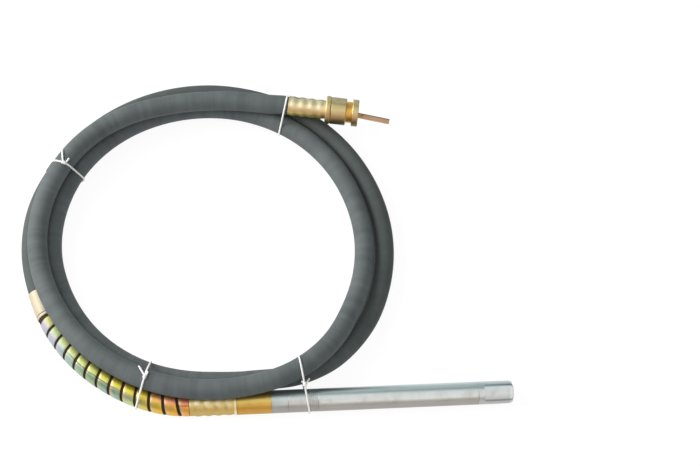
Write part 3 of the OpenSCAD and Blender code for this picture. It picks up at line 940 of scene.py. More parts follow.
def unit(vectors: np.ndarray) -> np.ndarray:
    """Vectors with a length of one, along the last axis."""
    return vectors / np.linalg.norm(vectors, axis=-1, keepdims=True)


def turn_z(degrees: float) -> np.ndarray:
    """Matrix of a turn about Z."""
    c, s = math.cos(math.radians(degrees)), math.sin(math.radians(degrees))
    return np.array([[c, -s, 0.0], [s, c, 0.0], [0.0, 0.0, 1.0]])


def turn_y(degrees: float) -> np.ndarray:
    """Matrix of a turn about Y."""
    c, s = math.cos(math.radians(degrees)), math.sin(math.radians(degrees))
    return np.array([[c, 0.0, s], [0.0, 1.0, 0.0], [-s, 0.0, c]])


@dataclass
class Axis:
    """Straight axis of turned pieces: its origin, and a matrix that turns X onto it."""

    origin: np.ndarray
    turn: np.ndarray

    def place(self, local: np.ndarray) -> np.ndarray:
        """Points of the axis's own frame in the shared frame."""
        return self.origin + local @ self.turn.T


@dataclass
class Skin:
    """Grid of points, rows along a piece and columns round it, that becomes one mesh.

    Attributes:
        points: Places in millimetres, rows by columns by three.
        lay: The piece's own coordinates in millimetres, of the same shape.
        rows_closed: True joins the last row to the first; else flat caps close both ends.
    """

    points: np.ndarray
    lay: np.ndarray
    rows_closed: bool = True

    def piece(self, name: str, finish: Finish, sharp: float = 40.0) -> bpy.types.Object:
        """Makes the mesh: a quad runs from each grid point to the next column and the next row.

        Args:
            name: Name of the piece.
            finish: Its finish.
            sharp: Angle in degrees above which an edge stays crisp.

        Returns:
            The object, at the origin and linked to the scene.
        """
        rows, columns = self.points.shape[:2]
        i = np.arange(rows if self.rows_closed else rows - 1)[:, None] * columns
        j = (i + columns) % (rows * columns)
        k = np.arange(columns)[None, :]
        m = (k + 1) % columns
        faces = np.stack([i + k, i + m, j + m, j + k], axis=-1).reshape(-1, 4).tolist()
        if not self.rows_closed:
            faces.append(np.arange(columns)[::-1].tolist())
            faces.append(np.arange((rows - 1) * columns, rows * columns).tolist())
        mesh = bpy.data.meshes.new(name)
        mesh.from_pydata((self.points.reshape(-1, 3) * MM).tolist(), [], faces)
        own = mesh.attributes.new(LAY, "FLOAT_VECTOR", "POINT")
        own.data.foreach_set("vector", self.lay.astype(np.float32).ravel())
        mesh.shade_smooth()
        mesh.set_sharp_from_angle(angle=math.radians(sharp))
        mesh.materials.append(finish.material())
        piece = bpy.data.objects.new(name, mesh)
        bpy.context.scene.collection.objects.link(piece)
        return piece


def settle(piece: bpy.types.Object, body: Body, slot: Slot, *nodes: str) -> bpy.types.Object:
    """Puts a finished piece on its body, in place of CAD nodes.

    Args:
        piece: The piece.
        body: The body that it rides on.
        slot: Its material slot in the record, which is not used.
        nodes: The CAD nodes that it stands for.

    Returns:
        The same piece.
    """
    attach(piece, body.value)
    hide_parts(*nodes)
    log.info("%s: %d faces, on %s", piece.name, len(piece.data.polygons), body.value)
    return piece


def rounded(outline: np.ndarray) -> np.ndarray:
    """Outline of [x, radius, easing] points with its corners rounded.

    A corner with an easing t becomes six points: two steps of t before it, two on the parabola that is
    drawn in by the corner, and two steps of t after it. A point with no easing stays as it is.

    Args:
        outline: Closed outline, n by 3.

    Returns:
        The outline's [x, radius] points.
    """
    corner = outline[:, :2]
    before = corner - np.roll(corner, 1, axis=0)
    after = np.roll(before, -1, axis=0)
    l_before = np.linalg.norm(before, axis=1)
    l_after = np.linalg.norm(after, axis=1)
    t = np.minimum(outline[:, 2], MOST_EASING * np.minimum(l_before, l_after))[:, None]
    a = t * before / l_before[:, None]
    b = t * after / l_after[:, None]
    places = [
        corner - 2 * a,
        corner - a,
        corner - (4 * a - b) / 9,
        corner - (a - 4 * b) / 9,
        corner + b,
        corner + 2 * b,
    ]
    keep = np.ones((len(corner), len(places)), bool)
    keep[outline[:, 2] == 0, 1:] = False
    return np.stack(places, axis=1)[keep]


@dataclass
class Lathe:
    """Turned piece: an outline of [x, radius] carried round an axis."""

    axis: Axis
    columns: int = 112

    def skin(self, outline: Sequence[Sequence[float]], closed: bool = True) -> Skin:
        """Turns an outline: (x, r cos q, r sin q) for angles q all round.

        Args:
            outline: Points [x, radius, easing], outer side in the direction of +X.
            closed: False for an outline that starts and ends near the axis.

        Returns:
            The skin of the turned piece.
        """
        line = rounded(np.array(outline, float))
        q = np.arange(self.columns) * math.tau / self.columns
        x = np.repeat(line[:, :1], self.columns, axis=1)
        local = np.stack([x, line[:, 1:] * np.cos(q), line[:, 1:] * np.sin(q)], axis=-1)
        return Skin(self.axis.place(local), local, closed)

    def turned(
        self,
        outline: Sequence[Sequence[float]],
        name: str,
        finish: Finish,
        slot: Slot,
        node: str,
    ) -> bpy.types.Object:
        """Closed turned piece that rides on the poker in place of a CAD node."""
        return settle(self.skin(outline).piece(name, finish), Body.POKER, slot, node)


@dataclass
class Path:
    """Line through points, with lengths along it and cross-frames.

    Attributes:
        points: Points in millimetres, n by 3.
        level: True keeps the frame's left side horizontal; else the frame doesn't twist.
    """

    points: np.ndarray
    level: bool = True

    def __post_init__(self) -> None:
        """Works out lengths, directions and frames for all points at once."""
        steps = np.linalg.norm(np.diff(self.points, axis=0), axis=1)
        self.s = np.concatenate([[0.0], np.cumsum(steps)])
        self.travel = unit(np.gradient(self.points, self.s, axis=0))
        if self.level:
            self.left = unit(np.cross([0.0, 0.0, 1.0], self.travel))
        else:
            self.left = self._untwisted()
        self.rise = np.cross(self.travel, self.left)

    @property
    def length(self) -> float:
        """Length of the line."""
        return float(self.s[-1])

    def _untwisted(self) -> np.ndarray:
        """Left sides that don't turn about the line.

        Each point first takes any side square to its direction. The turn from one such side, carried
        along without twist, to the next is measured, and the sum of those turns is taken back.

        Returns:
            The left sides, n by 3.
        """
        t = self.travel
        helper = np.eye(3)[np.argmin(np.abs(t), axis=1)]
        side = unit(np.cross(helper, t))
        bend = t[:-1] + t[1:]
        carried = side[:-1] - bend * (
            2 * np.sum(side[:-1] * bend, axis=1) / np.sum(bend * bend, axis=1)
        )[:, None]
        cosine = np.sum(carried * side[1:], axis=1)
        sine = np.sum(np.cross(carried, side[1:]) * t[1:], axis=1)
        twist = np.concatenate([[0.0], np.cumsum(np.arctan2(sine, cosine))])[:, None]
        return side * np.cos(twist) - np.cross(t, side) * np.sin(twist)

    def sample(self, values: np.ndarray, s: np.ndarray) -> np.ndarray:
        """Values that go with the points, at lengths s."""
        return np.stack([np.interp(s, self.s, values[:, c]) for c in range(values.shape[1])], axis=-1)

    def round(self, s: np.ndarray, q: np.ndarray, r: np.ndarray) -> np.ndarray:
        """Points round the line: middle + r (cos q left + sin q rise).

        Args:
            s: Lengths along the line.
            q: Angles from the left side, in radians.
            r: Distances from the line.

        Returns:
            Points of the shape that the three take together, by three.
        """
        s, q, r = np.broadcast_arrays(s, q, r)
        left, rise = self.sample(self.left, s), self.sample(self.rise, s)
        out = np.cos(q)[..., None] * left + np.sin(q)[..., None] * rise
        return self.sample(self.points, s) + r[..., None] * out

    def respaced(self, step: float, passes: int) -> Path:
        """Same line with even steps, rounded by averaging each inner point with its neighbours.

        Args:
            step: Wanted distance between points.
            passes: Number of averagings.

        Returns:
            The new path.
        """
        count = int(round(self.length / step)) + 1
        points = self.sample(self.points, np.linspace(0.0, self.length, count))
        for _ in range(passes):
            points[1:-1] = (points[:-2] + 2 * points[1:-1] + points[2:]) / 4
        return Path(points, self.level)


def tube(path: Path, s: np.ndarray, r: np.ndarray, columns: int, closed: bool = False) -> Skin:
    """Profile of radii carried along a path.

    Args:
        path: The line.
        s: Length of each row along it.
        r: Radius of each row.
        columns: Points round the line.
        closed: True joins the last row to the first, for a walled tube that comes back inside.

    Returns:
        The skin, whose own coordinates are (s, r cos q, r sin q).
    """
    q = np.arange(columns)[None, :] * math.tau / columns
    s, r = s[:, None], r[:, None]
    lay = np.stack(np.broadcast_arrays(s + 0 * q, r * np.cos(q), r * np.sin(q)), axis=-1)
    return Skin(path.round(s, q, r), lay, closed)


@dataclass
class Route:
    """Line of the hose from the motor coupling, round the coil and into the head.

    The lay gives, by angle round the coil's middle, how far the line lies out from the mean radius and up
    from the lowest layer. Between its stations a cubic takes each station's mean slope.

    Attributes:
        coil_x: Place of the coil's middle along X.
        coil_y: Place of the coil's middle along Y.
        coil_r: Mean radius of the coil.
        lay_z: Height of the lowest layer's middle.
        coil_first: Angle at which the coil starts, in degrees.
        coil_last: Angle at which it ends, in degrees.
        mouth_x: Place of the head ferrule's mouth.
        head_z: Height of the head's axis.
        motor_in: Length of hose in the motor ferrule.
        head_in: Length of hose in the head ferrule.
        motor_heading: Heading of the coupling's axis, in degrees.
        motor_droop: How far that axis points down, in degrees.
        motor_points: Places on that axis that the hose goes through after its end.
        coil_points: Number of points worked out on the coil.
        bend_points: Number of points worked out on the bend before the head.
        head_points: Number of points worked out in the head.
        bend_gap: Distance before the mouth at which the bend ends.
        step: Distance between points of the finished line.
        passes: Number of averagings of the finished line.
        lay: Rows of angle, distance out and height.
    """

    coil_x: float = -224.5
    coil_y: float = 274.0
    coil_r: float = 268.0
    lay_z: float = 17.4
    coil_first: float = 65.0
    coil_last: float = 955.5
    mouth_x: float = -254.0
    head_z: float = 19.4
    motor_in: float = 60.0
    head_in: float = 66.5
    motor_heading: float = -7.9
    motor_droop: float = 3.5
    motor_points: tuple[float, ...] = (50.0, 34.0, 18.0, 6.0, -2.0, -10.0)
    coil_points: int = 600
    bend_points: int = 25
    head_points: int = 12
    bend_gap: float = 2.0
    step: float = 4.0
    passes: int = 4
    lay: tuple[Triple, ...] = (
        (59.1, 5.0, 38.6), (64.7, -6.6, 40.9), (72.0, -15.0, 43.2), (80.0, -19.4, 43.6),
        (90.0, -22.2, 43.6), (105.0, -19.0, 43.6), (120.0, -10.0, 44.0), (135.0, -1.2, 42.4),
        (150.0, 3.8, 39.0), (165.0, 5.6, 34.5), (180.0, 3.6, 31.0), (210.0, -5.8, 31.0),
        (240.0, -11.0, 31.5), (270.0, -8.0, 32.5), (285.0, -3.0, 33.0), (300.0, 4.0, 33.6),
        (315.0, 5.0, 33.6), (330.0, -2.5, 28.0), (345.0, -8.0, 20.0), (360.0, -12.5, 14.5),
        (375.0, -16.2, 12.5), (390.0, -18.0, 11.5), (420.0, -19.0, 10.5), (450.0, -18.0, 10.5),
        (465.0, -16.2, 10.5), (480.0, -13.8, 10.8), (495.0, -11.9, 10.6), (510.0, -11.4, 9.5),
        (525.0, -12.4, 5.0), (540.0, -15.3, 1.0), (555.0, -21.1, 0.0), (570.0, -25.8, 0.0),
        (600.0, -31.7, 0.0), (630.0, -32.3, 0.0), (645.0, -22.8, 0.0), (652.5, -13.2, 0.0),
        (660.0, 0.0, 0.0), (667.5, 10.6, 0.0), (675.0, 18.4, 0.0), (690.0, 24.2, 0.0), (705.0, 22.7, 0.0),
        (720.0, 19.9, 0.0), (735.0, 16.4, 0.0), (750.0, 14.2, 0.0), (780.0, 12.8, 0.0), (795.0, 13.2, 0.0),
        (810.0, 15.5, 0.0), (840.0, 18.9, 0.0), (870.0, 20.0, 0.0), (885.0, 21.4, 0.0), (900.0, 18.3, 0.2),
        (915.0, 13.3, 0.6), (930.0, 12.0, 1.2), (945.0, 11.2, 1.8), (960.0, 10.6, 2.2),
    )

    def _blend(self, angle: np.ndarray, column: int) -> np.ndarray:
        """One column of the lay on its cubics.

        Args:
            angle: Angles in degrees.
            column: 1 for the distance out, 2 for the height.

        Returns:
            The column's value at each angle.
        """
        table = np.array(self.lay)
        at, value = table[:, 0], table[:, column]
        ahead = np.minimum(np.arange(len(at)) + 1, len(at) - 1)
        behind = np.maximum(np.arange(len(at)) - 1, 0)
        slope = (value[ahead] - value[behind]) / (at[ahead] - at[behind])
        i = np.clip(np.searchsorted(at, angle, side="right") - 1, 0, len(at) - 2)
        span = at[i + 1] - at[i]
        t = (angle - at[i]) / span
        a, b, u, v = slope[i] * span, slope[i + 1] * span, value[i], value[i + 1]
        return u + t * (a + t * (3 * (v - u) - 2 * a - b + t * (2 * (u - v) + a + b)))

    def coil(self, angle: np.ndarray) -> np.ndarray:
        """Points of the coil: mean radius and lowest layer, each with its lay added.

        Args:
            angle: Angles in degrees.

        Returns:
            One point for each angle.
        """
        angle = np.asarray(angle, float)
        r = self.coil_r + self._blend(angle, 1)
        q = np.radians(angle)
        z = self.lay_z + self._blend(angle, 2)
        return np.stack([self.coil_x + r * np.cos(q), self.coil_y + r * np.sin(q), z], axis=-1)

    def motor_axis(self) -> Axis:
        """Axis of the motor coupling, with its origin at the mouth of the ferrule."""
        return Axis(self.coil(self.lay[0][0]), turn_z(self.motor_heading) @ turn_y(self.motor_droop))

    def path(self) -> Path:
        """The whole line: straight from the coupling, the coil, a cubic bend, then straight into the head.

        Returns:
            The path with even steps.
        """
        forward = np.array([1.0, 0.0, 0.0])
        back = np.array([self.motor_in, *self.motor_points])
        start = self.motor_axis().place(back[:, None] * forward)
        coil = self.coil(np.linspace(self.coil_first, self.coil_last, self.coil_points))
        goal = np.array([self.mouth_x - self.bend_gap, 0.0, self.head_z])
        reach = np.linalg.norm(goal - coil[-1])
        lead = reach * unit(coil[-1] - self.coil(self.coil_last - 1.0))
        run = reach * forward
        t = np.linspace(0.0, 1.0, self.bend_points)[1:, None]
        bend = (
            coil[-1] * (1 - t) ** 2 * (1 + 2 * t)
            + goal * t ** 2 * (3 - 2 * t)
            + lead * t * (1 - t) ** 2
            - run * t ** 2 * (1 - t)
        )
        inward = np.linspace(2 * self.bend_gap, self.head_in + self.bend_gap, self.head_points)
        into = inward[:, None] * forward + goal
        return Path(np.concatenate([start, coil, bend, into])).respaced(self.step, self.passes)


@dataclass
class HoseRun:
    """Rubber hose with its bore, and the wound-wire core inside it.

    Attributes:
        route: Line of the hose.
        hose_r: Radius of the hose.
        bore_r: Radius of its bore.
        core_r: Radius of the core.
        motor_squeeze: Radius of the hose in the motor ferrule.
        head_squeeze: Radius of the hose in the head ferrule.
        squeeze_l: Length over which the hose narrows at a ferrule.
        core_motor_in: Length of core beyond the motor ferrule's mouth.
        core_head_in: Length of core beyond the head ferrule's mouth.
        grip_l: Length of hose that the head holds.
        outer_rows: Rows of points along the hose's outer wall.
        bore_rows: Rows of points along its bore.
        hose_columns: Points round the hose.
        core_rows: Rows of points along the core.
        core_columns: Points round the core.
    """

    route: Route
    hose_r: float = 16.0
    bore_r: float = 10.0
    core_r: float = 5.0
    motor_squeeze: float = 14.18
    head_squeeze: float = 15.68
    squeeze_l: float = 3.0
    core_motor_in: float = 79.5
    core_head_in: float = 83.7
    grip_l: float = 28.0
    outer_rows: int = 1000
    bore_rows: int = 320
    hose_columns: int = 40
    core_rows: int = 900
    core_columns: int = 14

    def __post_init__(self) -> None:
        """Works the line out once."""
        self.path = self.route.path()

    @property
    def mouth_s(self) -> float:
        """Length along the hose at the mouth of the head ferrule."""
        return self.path.length - self.route.head_in

    def exit_point(self) -> np.ndarray:
        """Place in the head ferrule, the grip's length back from the end of the hose's line."""
        return self.path.points[-1] - self.path.travel[-1] * self.grip_l

    def hose(self, guard_shade_from: float) -> bpy.types.Object:
        """Hose: rows of the outer wall to the head, then rows of the bore back to the motor coupling.

        Args:
            guard_shade_from: Length along the hose from which painted shade darkens it.

        Returns:
            The hose.
        """
        path, motor_in = self.path, self.route.motor_in
        stations = [
            0.0, motor_in, motor_in + self.squeeze_l,
            self.mouth_s - self.squeeze_l, self.mouth_s, path.length,
        ]
        radii = [
            self.motor_squeeze, self.motor_squeeze, self.hose_r,
            self.hose_r, self.head_squeeze, self.head_squeeze,
        ]
        outer_s = np.union1d(np.linspace(0.0, path.length, self.outer_rows), stations)
        bore_s = np.linspace(path.length, 0.0, self.bore_rows)
        s = np.concatenate([outer_s, bore_s])
        r = np.concatenate([np.interp(outer_s, stations, radii), np.full(len(bore_s), self.bore_r)])
        finish = HoseRubber("hose_rubber", guard_shade_from=guard_shade_from)
        piece = tube(path, s, r, self.hose_columns, closed=True).piece("hose_wall", finish)
        return settle(piece, Body.POKER, Slot.HOSE_RUBBER, "hose")

    def core(self) -> bpy.types.Object:
        """Core: the hose's line, carried on straight into the coupling and the head.

        Returns:
            The core.
        """
        first, last = self.path.points[0], self.path.points[-1]
        ahead = first - self.path.travel[0] * (self.core_motor_in - self.route.motor_in)
        beyond = last + self.path.travel[-1] * (self.core_head_in - self.route.head_in)
        line = Path(np.concatenate([[ahead], self.path.points, [beyond]]))
        s = np.linspace(0.0, line.length, self.core_rows)
        skin = tube(line, s, np.full(len(s), self.core_r), self.core_columns)
        piece = skin.piece("wire_core", WoundWire("core_wire"))
        return settle(piece, Body.POKER, Slot.CORE_COPPER, "flexible_core")


@dataclass
class StripGuard:
    """Steel guard near the head: a plain band, then a strip wound round the hose.

    The strip's middle starts part of a turn late, and its far edge is cut square before the ferrule.

    Attributes:
        run: The hose.
        band_l: Length of the band.
        bead_l: Length of the band beyond its pressed line.
        strip_w: Width of the strip along the hose.
        strip_open: Gap between two turns.
        strip_turns: Number of turns.
        strip_late: Share of a turn by which the strip starts late.
        strip_past: Length by which the strip's middle would pass the ferrule's mouth.
        cut_gap: Gap between the cut end and the ferrule.
        band_gap: Gap between the band and the strip.
        strip_t: Thickness of band and strip.
        inner_r: Radius inside them.
        start_turn: Angle of the strip's middle at its start, in degrees.
        band_columns: Points round the band.
        turn_rows: Rows of points in a turn of the strip.
    """

    run: HoseRun
    band_l: float = 46.0
    bead_l: float = 4.8
    strip_w: float = 19.2
    strip_open: float = 3.2
    strip_turns: int = 13
    strip_late: float = 5 / 16
    strip_past: float = 5.4
    cut_gap: float = 0.6
    band_gap: float = 2.0
    strip_t: float = 0.9
    inner_r: float = 16.25
    start_turn: float = -60.0
    band_columns: int = 64
    turn_rows: int = 56

    @property
    def pitch(self) -> float:
        """Length of a turn along the hose."""
        return self.strip_w + self.strip_open

    @property
    def strip_start_s(self) -> float:
        """Length along the hose from which the strip's turns are counted."""
        return self.run.mouth_s + self.strip_past - self.strip_turns * self.pitch

    @property
    def band_end_s(self) -> float:
        """Length along the hose at the end of the band."""
        return self.strip_start_s + self.strip_late * self.pitch - self.strip_w / 2 - self.band_gap

    def band(self) -> bpy.types.Object:
        """Band: outer radii with a pressed line near its end, then the inner wall back.

        Returns:
            The band.
        """
        end = self.band_end_s
        start = end - self.band_l
        outer_r = self.inner_r + self.strip_t
        line = end - self.bead_l
        profile = np.array([
            [start, outer_r - 0.35], [start + 0.4, outer_r],
            [start + 15.0, outer_r], [start + 30.0, outer_r],
            [line - 1.0, outer_r], [line - 0.6, outer_r - 0.1], [line, outer_r - 0.6],
            [line + 0.6, outer_r], [line + 1.4, outer_r + 0.2], [end - 1.6, outer_r + 0.2],
            [end - 0.5, outer_r], [end, outer_r - 0.4], [end, self.inner_r],
            [end - 15.0, self.inner_r], [end - 30.0, self.inner_r], [start, self.inner_r],
        ])
        # The finish paints shade in the band's pressed line.
        finish = ZincPlate("zinc_cream", Plating.CREAM, 0.42, 0.12, groove_x=line)
        skin = tube(self.run.path, profile[:, 0], profile[:, 1], self.band_columns, closed=True)
        return settle(skin.piece("guard_sleeve", finish), Body.POKER, Slot.ZINC_RAINBOW, "guard_band")

    def strip(self) -> bpy.types.Object:
        """Strip: a flat crowned section carried along a helix.

        After k turns the section's middle lies at length s0 + pitch k and angle q0 + 360 k, and the section
        is a flat loop of (along the hose, radius) points with rounded edges. Its near edge is cut square at
        the band, and its far edge at the ferrule.

        Returns:
            The wound strip.
        """
        half, r0, r1 = self.strip_w / 2, self.inner_r, self.inner_r + self.strip_t
        section = np.array([
            [-half + 0.2, r0], [0.0, r0], [half - 0.2, r0], [half, r0 + 0.3], [half - 0.1, r1 - 0.45],
            [half - 0.8, r1 - 0.16], [half * 0.5, r1 - 0.03], [0.0, r1], [-half * 0.5, r1 - 0.03],
            [-half + 0.8, r1 - 0.16], [-half + 0.1, r1 - 0.45], [-half, r0 + 0.3],
        ])
        rows = round((self.strip_turns - self.strip_late) * self.turn_rows) + 1
        turns = np.linspace(self.strip_late, self.strip_turns, rows)[:, None]
        cut = self.run.mouth_s - self.cut_gap
        s = np.minimum(self.strip_start_s + turns * self.pitch + section[None, :, 0], cut)
        q = np.radians(self.start_turn) + turns * math.tau
        r = np.broadcast_to(section[None, :, 1], s.shape)
        along = s - self.strip_start_s
        lay = np.stack(np.broadcast_arrays(along, r * np.cos(q), r * np.sin(q)), axis=-1)
        finish = RainbowZinc("zinc_rainbow", self.pitch, self.strip_turns, self.start_turn, self.strip_w)
        skin = Skin(self.run.path.round(s, q, r), lay, rows_closed=False)
        return settle(skin.piece("guard_winding", finish), Body.POKER, Slot.ZINC_RAINBOW, "guard_strip")


@dataclass
class Tie:
    """One string tie: where its upright plane crosses the coil's mean circle, and its knot.

    Attributes:
        angle: Angle on the mean circle, in degrees.
        heading: Heading of the plane there, in degrees.
        lean: How far the plane leans to its left for each millimetre of height.
        knot: Place near which the knot sits.
        tail: Plan place where the longer tail ends.
        stub: Plan place where the shorter tail ends.
        round_head: True where the tie also goes round the head.
    """

    angle: float
    heading: float
    lean: float
    knot: Triple
    tail: tuple[float, float]
    stub: tuple[float, float]
    round_head: bool = False


@dataclass
class StringTies:
    """White strings that hold the coil's turns together, each one open string with a knot and two tails.

    Attributes:
        run: The hose.
        guard: The guard, with which a strand is thicker.
        string_d: Thickness of the string.
        off_hose: Distance of the string's middle from what it lies on.
        lean_z: Height about which a tie's plane leans.
        tail_drop: How far a tail may fall below its knot.
        tail_lift: How far the longer tail's end stands up.
        stub_lift: How far the shorter tail's end stands up.
        head_r: Radius of the head.
        reach: Distance from a tie's place beyond which it holds no strand.
        loop_points: Number of directions in which the loop is drawn tight.
        loop_step: Distance between points of the loop.
        tail_points: Number of points worked out on a tail.
        knot_r: Radius of the curls in the knot.
        knot_out: Share of that radius by which the curls stand out.
        curl_points: Number of points worked out on a curl.
        curl_turns: Turns of a curl.
        curl_from: Distance from the knot's middle at which a curl starts.
        curl_l: Length of a curl.
        step: Distance between points of the finished string.
        passes: Number of averagings of the finished string.
        columns: Points round the string.
        ties: The ties.
    """

    run: HoseRun
    guard: StripGuard
    string_d: float = 3.0
    off_hose: float = 1.4
    lean_z: float = 34.8
    tail_drop: float = 4.0
    tail_lift: float = 1.5
    stub_lift: float = 1.0
    head_r: float = 18.0
    reach: float = 90.0
    loop_points: int = 241
    loop_step: float = 1.0
    tail_points: int = 16
    knot_r: float = 1.8
    knot_out: float = 0.4
    curl_points: int = 40
    curl_turns: float = 1.3
    curl_from: float = 2.2
    curl_l: float = 2.0
    step: float = 0.8
    passes: int = 3
    columns: int = 10
    ties: tuple[Tie, ...] = (
        Tie(60.5, 77.5, -0.14, (-86.5, 538.0, 20.0), (-94.0, 549.0), (-79.0, 547.0)),
        Tie(149.4, 160.7, 0.03, (-453.4, 409.5, 71.8), (-456.6, 432.7), (-445.0, 416.0)),
        Tie(247.4, 252.9, 0.165, (-320.2, 33.0, 65.8), (-329.2, 52.2), (-315.0, 42.0)),
        Tie(302.9, 279.4, 0.0, (-72.8, 15.2, 52.3), (-65.8, 24.4), (-77.5, 20.0), True),
    )

    def _along(self, tie: Tie) -> np.ndarray:
        """Plan direction of a tie's plane."""
        return np.array([math.cos(math.radians(tie.heading)), math.sin(math.radians(tie.heading))])

    def _foot(self, tie: Tie) -> np.ndarray:
        """Plan place where a tie's plane crosses the mean circle."""
        route, q = self.run.route, math.radians(tie.angle)
        return np.array([route.coil_x, route.coil_y]) + route.coil_r * np.array([math.cos(q), math.sin(q)])

    def _strands(self, tie: Tie) -> np.ndarray:
        """Ovals of what the tie goes round: middle along the plane, height and two half widths.

        The hose's line crosses the plane where its distance beside the plane changes sign. A strand that
        crosses at a slant is an oval that is wider along the plane.

        Args:
            tie: The tie.

        Returns:
            One row for each strand.
        """
        path, foot, along = self.run.path, self._foot(tie), self._along(tie)
        plan = path.points[:, :2] - foot
        lean = tie.lean * (path.points[:, 2] - self.lean_z)
        beside = along[0] * plan[:, 1] - along[1] * plan[:, 0] - lean
        i = np.flatnonzero(beside[:-1] * beside[1:] < 0)
        share = (beside[i] / (beside[i] - beside[i + 1]))[:, None]
        at = path.points[i] + share * (path.points[i + 1] - path.points[i])
        u = (at[:, :2] - foot) @ along
        slant = np.abs(path.travel[i, 0] * along[1] - path.travel[i, 1] * along[0])
        slant = slant / np.linalg.norm(path.travel[i, :2], axis=1)
        guarded = path.s[i] > self.guard.band_end_s - self.guard.band_l
        r = np.where(guarded, self.guard.inner_r + self.guard.strip_t, self.run.hose_r) + self.off_hose
        ovals = np.stack([u, at[:, 2], r / slant, r], axis=1)[np.abs(u) < self.reach]
        if tie.round_head:
            r_head = self.head_r + self.off_hose
            oval = [-foot[1] / along[1], self.run.route.head_z, r_head / abs(along[1]), r_head]
            ovals = np.concatenate([ovals, [oval]])
        return ovals

    def _loop(self, tie: Tie) -> np.ndarray:
        """Closed line drawn tight round the strands.

        In each direction of the plane the string touches the oval that reaches farthest that way.

        Args:
            tie: The tie.

        Returns:
            Points of the loop, in even steps, n by 3.
        """
        ovals = self._strands(tie)
        q = np.linspace(0.0, math.tau, self.loop_points)[:, None]
        height = np.sqrt((ovals[:, 2] * np.cos(q)) ** 2 + (ovals[:, 3] * np.sin(q)) ** 2)
        far = np.argmax(ovals[:, 0] * np.cos(q) + ovals[:, 1] * np.sin(q) + height, axis=1)
        h = np.take_along_axis(height, far[:, None], axis=1)[:, 0]
        u = ovals[far, 0] + ovals[far, 2] ** 2 * np.cos(q[:, 0]) / h
        z = ovals[far, 1] + ovals[far, 3] ** 2 * np.sin(q[:, 0]) / h
        along = self._along(tie)
        left = np.array([-along[1], along[0]])
        plan = self._foot(tie) + u[:, None] * along + tie.lean * (z - self.lean_z)[:, None] * left
        return Path(np.column_stack([plan, z]), level=False).respaced(self.loop_step, 0).points[:-1]

    def _resting(self, plan: np.ndarray) -> np.ndarray:
        """Heights at which a string lies on the hose or on the head.

        Args:
            plan: Plan places, n by 2.

        Returns:
            The height at each place.
        """
        points = self.run.path.points
        away = np.sum((plan[:, None, :] - points[None, :, :2]) ** 2, axis=2)
        r = self.run.hose_r + self.off_hose
        crown = points[:, 2] + np.sqrt(np.maximum(r * r - away, 0.0))
        hose = np.max(np.where(away < r * r, crown, 0.0), axis=1)
        r_head = self.head_r + self.off_hose
        on_head = (np.abs(plan[:, 1]) < r_head) & (plan[:, 0] > self.run.route.mouth_x)
        top = self.run.route.head_z + np.sqrt(np.maximum(r_head ** 2 - plan[:, 1] ** 2, 0.0))
        return np.maximum(np.maximum(hose, np.where(on_head, top, 0.0)), self.string_d / 2)

    def _tail(self, start: np.ndarray, end: tuple[float, float], lift: float) -> np.ndarray:
        """Loose tail from the knot: a straight line in plan that comes down onto what lies under it.

        Args:
            start: Place where it leaves the knot.
            end: Plan place of its end.
            lift: How far its end stands up.

        Returns:
            Points from the knot to the end.
        """
        t = np.linspace(0.0, 1.0, self.tail_points)[:, None]
        plan = start[:2] * (1 - t) + np.array(end) * t
        fall = start[2] - self.tail_drop * t[:, 0] ** 2
        z = np.maximum(self._resting(plan), fall) + lift * t[:, 0] ** 2
        return np.column_stack([plan, z])

    def _line(self, tie: Tie) -> np.ndarray:
        """Whole string: tail, curl, loop, curl, tail.

        A curl is a short helix about the loop's direction at the knot, one on each side of it.

        Args:
            tie: The tie.

        Returns:
            Points of the string from one end to the other.
        """
        loop = self._loop(tie)
        nearest = np.argmin(np.linalg.norm(loop - np.array(tie.knot), axis=1))
        loop = np.roll(loop, -nearest, axis=0)
        knot = loop[0]
        along = unit(loop[1] - loop[-1])
        beside = np.array([-self._along(tie)[1], self._along(tie)[0], 0.0])
        out = np.cross(along, beside)
        out = out * np.sign(np.sum(out * (knot - np.mean(loop, axis=0))))
        turn = np.linspace(0.0, self.curl_turns * math.tau, self.curl_points)[:, None]
        ring = (out * np.cos(turn) + beside * np.sin(turn)) * self.knot_r + out * self.knot_out * self.knot_r
        aside = along * (self.curl_from - self.curl_l * turn[::-1] / turn[-1])
        first = knot + ring[::-1] - aside
        second = knot + ring + aside
        tail = self._tail(first[0], tie.tail, self.tail_lift)[::-1]
        stub = self._tail(second[-1], tie.stub, self.stub_lift)
        return np.concatenate([tail[:-1], first, loop[2:-2], second, stub[1:]])

    def build(self) -> list[bpy.types.Object]:
        """Makes each string as a round bar along its line, kept above the floor.

        Returns:
            The strings.
        """
        made = []
        for number, tie in enumerate(self.ties, 1):
            path = Path(self._line(tie), level=False).respaced(self.step, self.passes)
            skin = tube(path, path.s, np.full(len(path.s), self.string_d / 2), self.columns)
            skin.points[..., 2] = np.maximum(skin.points[..., 2], 0.0)
            piece = skin.piece(f"string_tie_{number}", TwistedString("white_string"), 60.0)
            settle(piece, Body.POKER, Slot.WHITE_STRING, "string_ties")
            path.points[0] * MM
            path.points * MM
            made.append(piece)
        return made


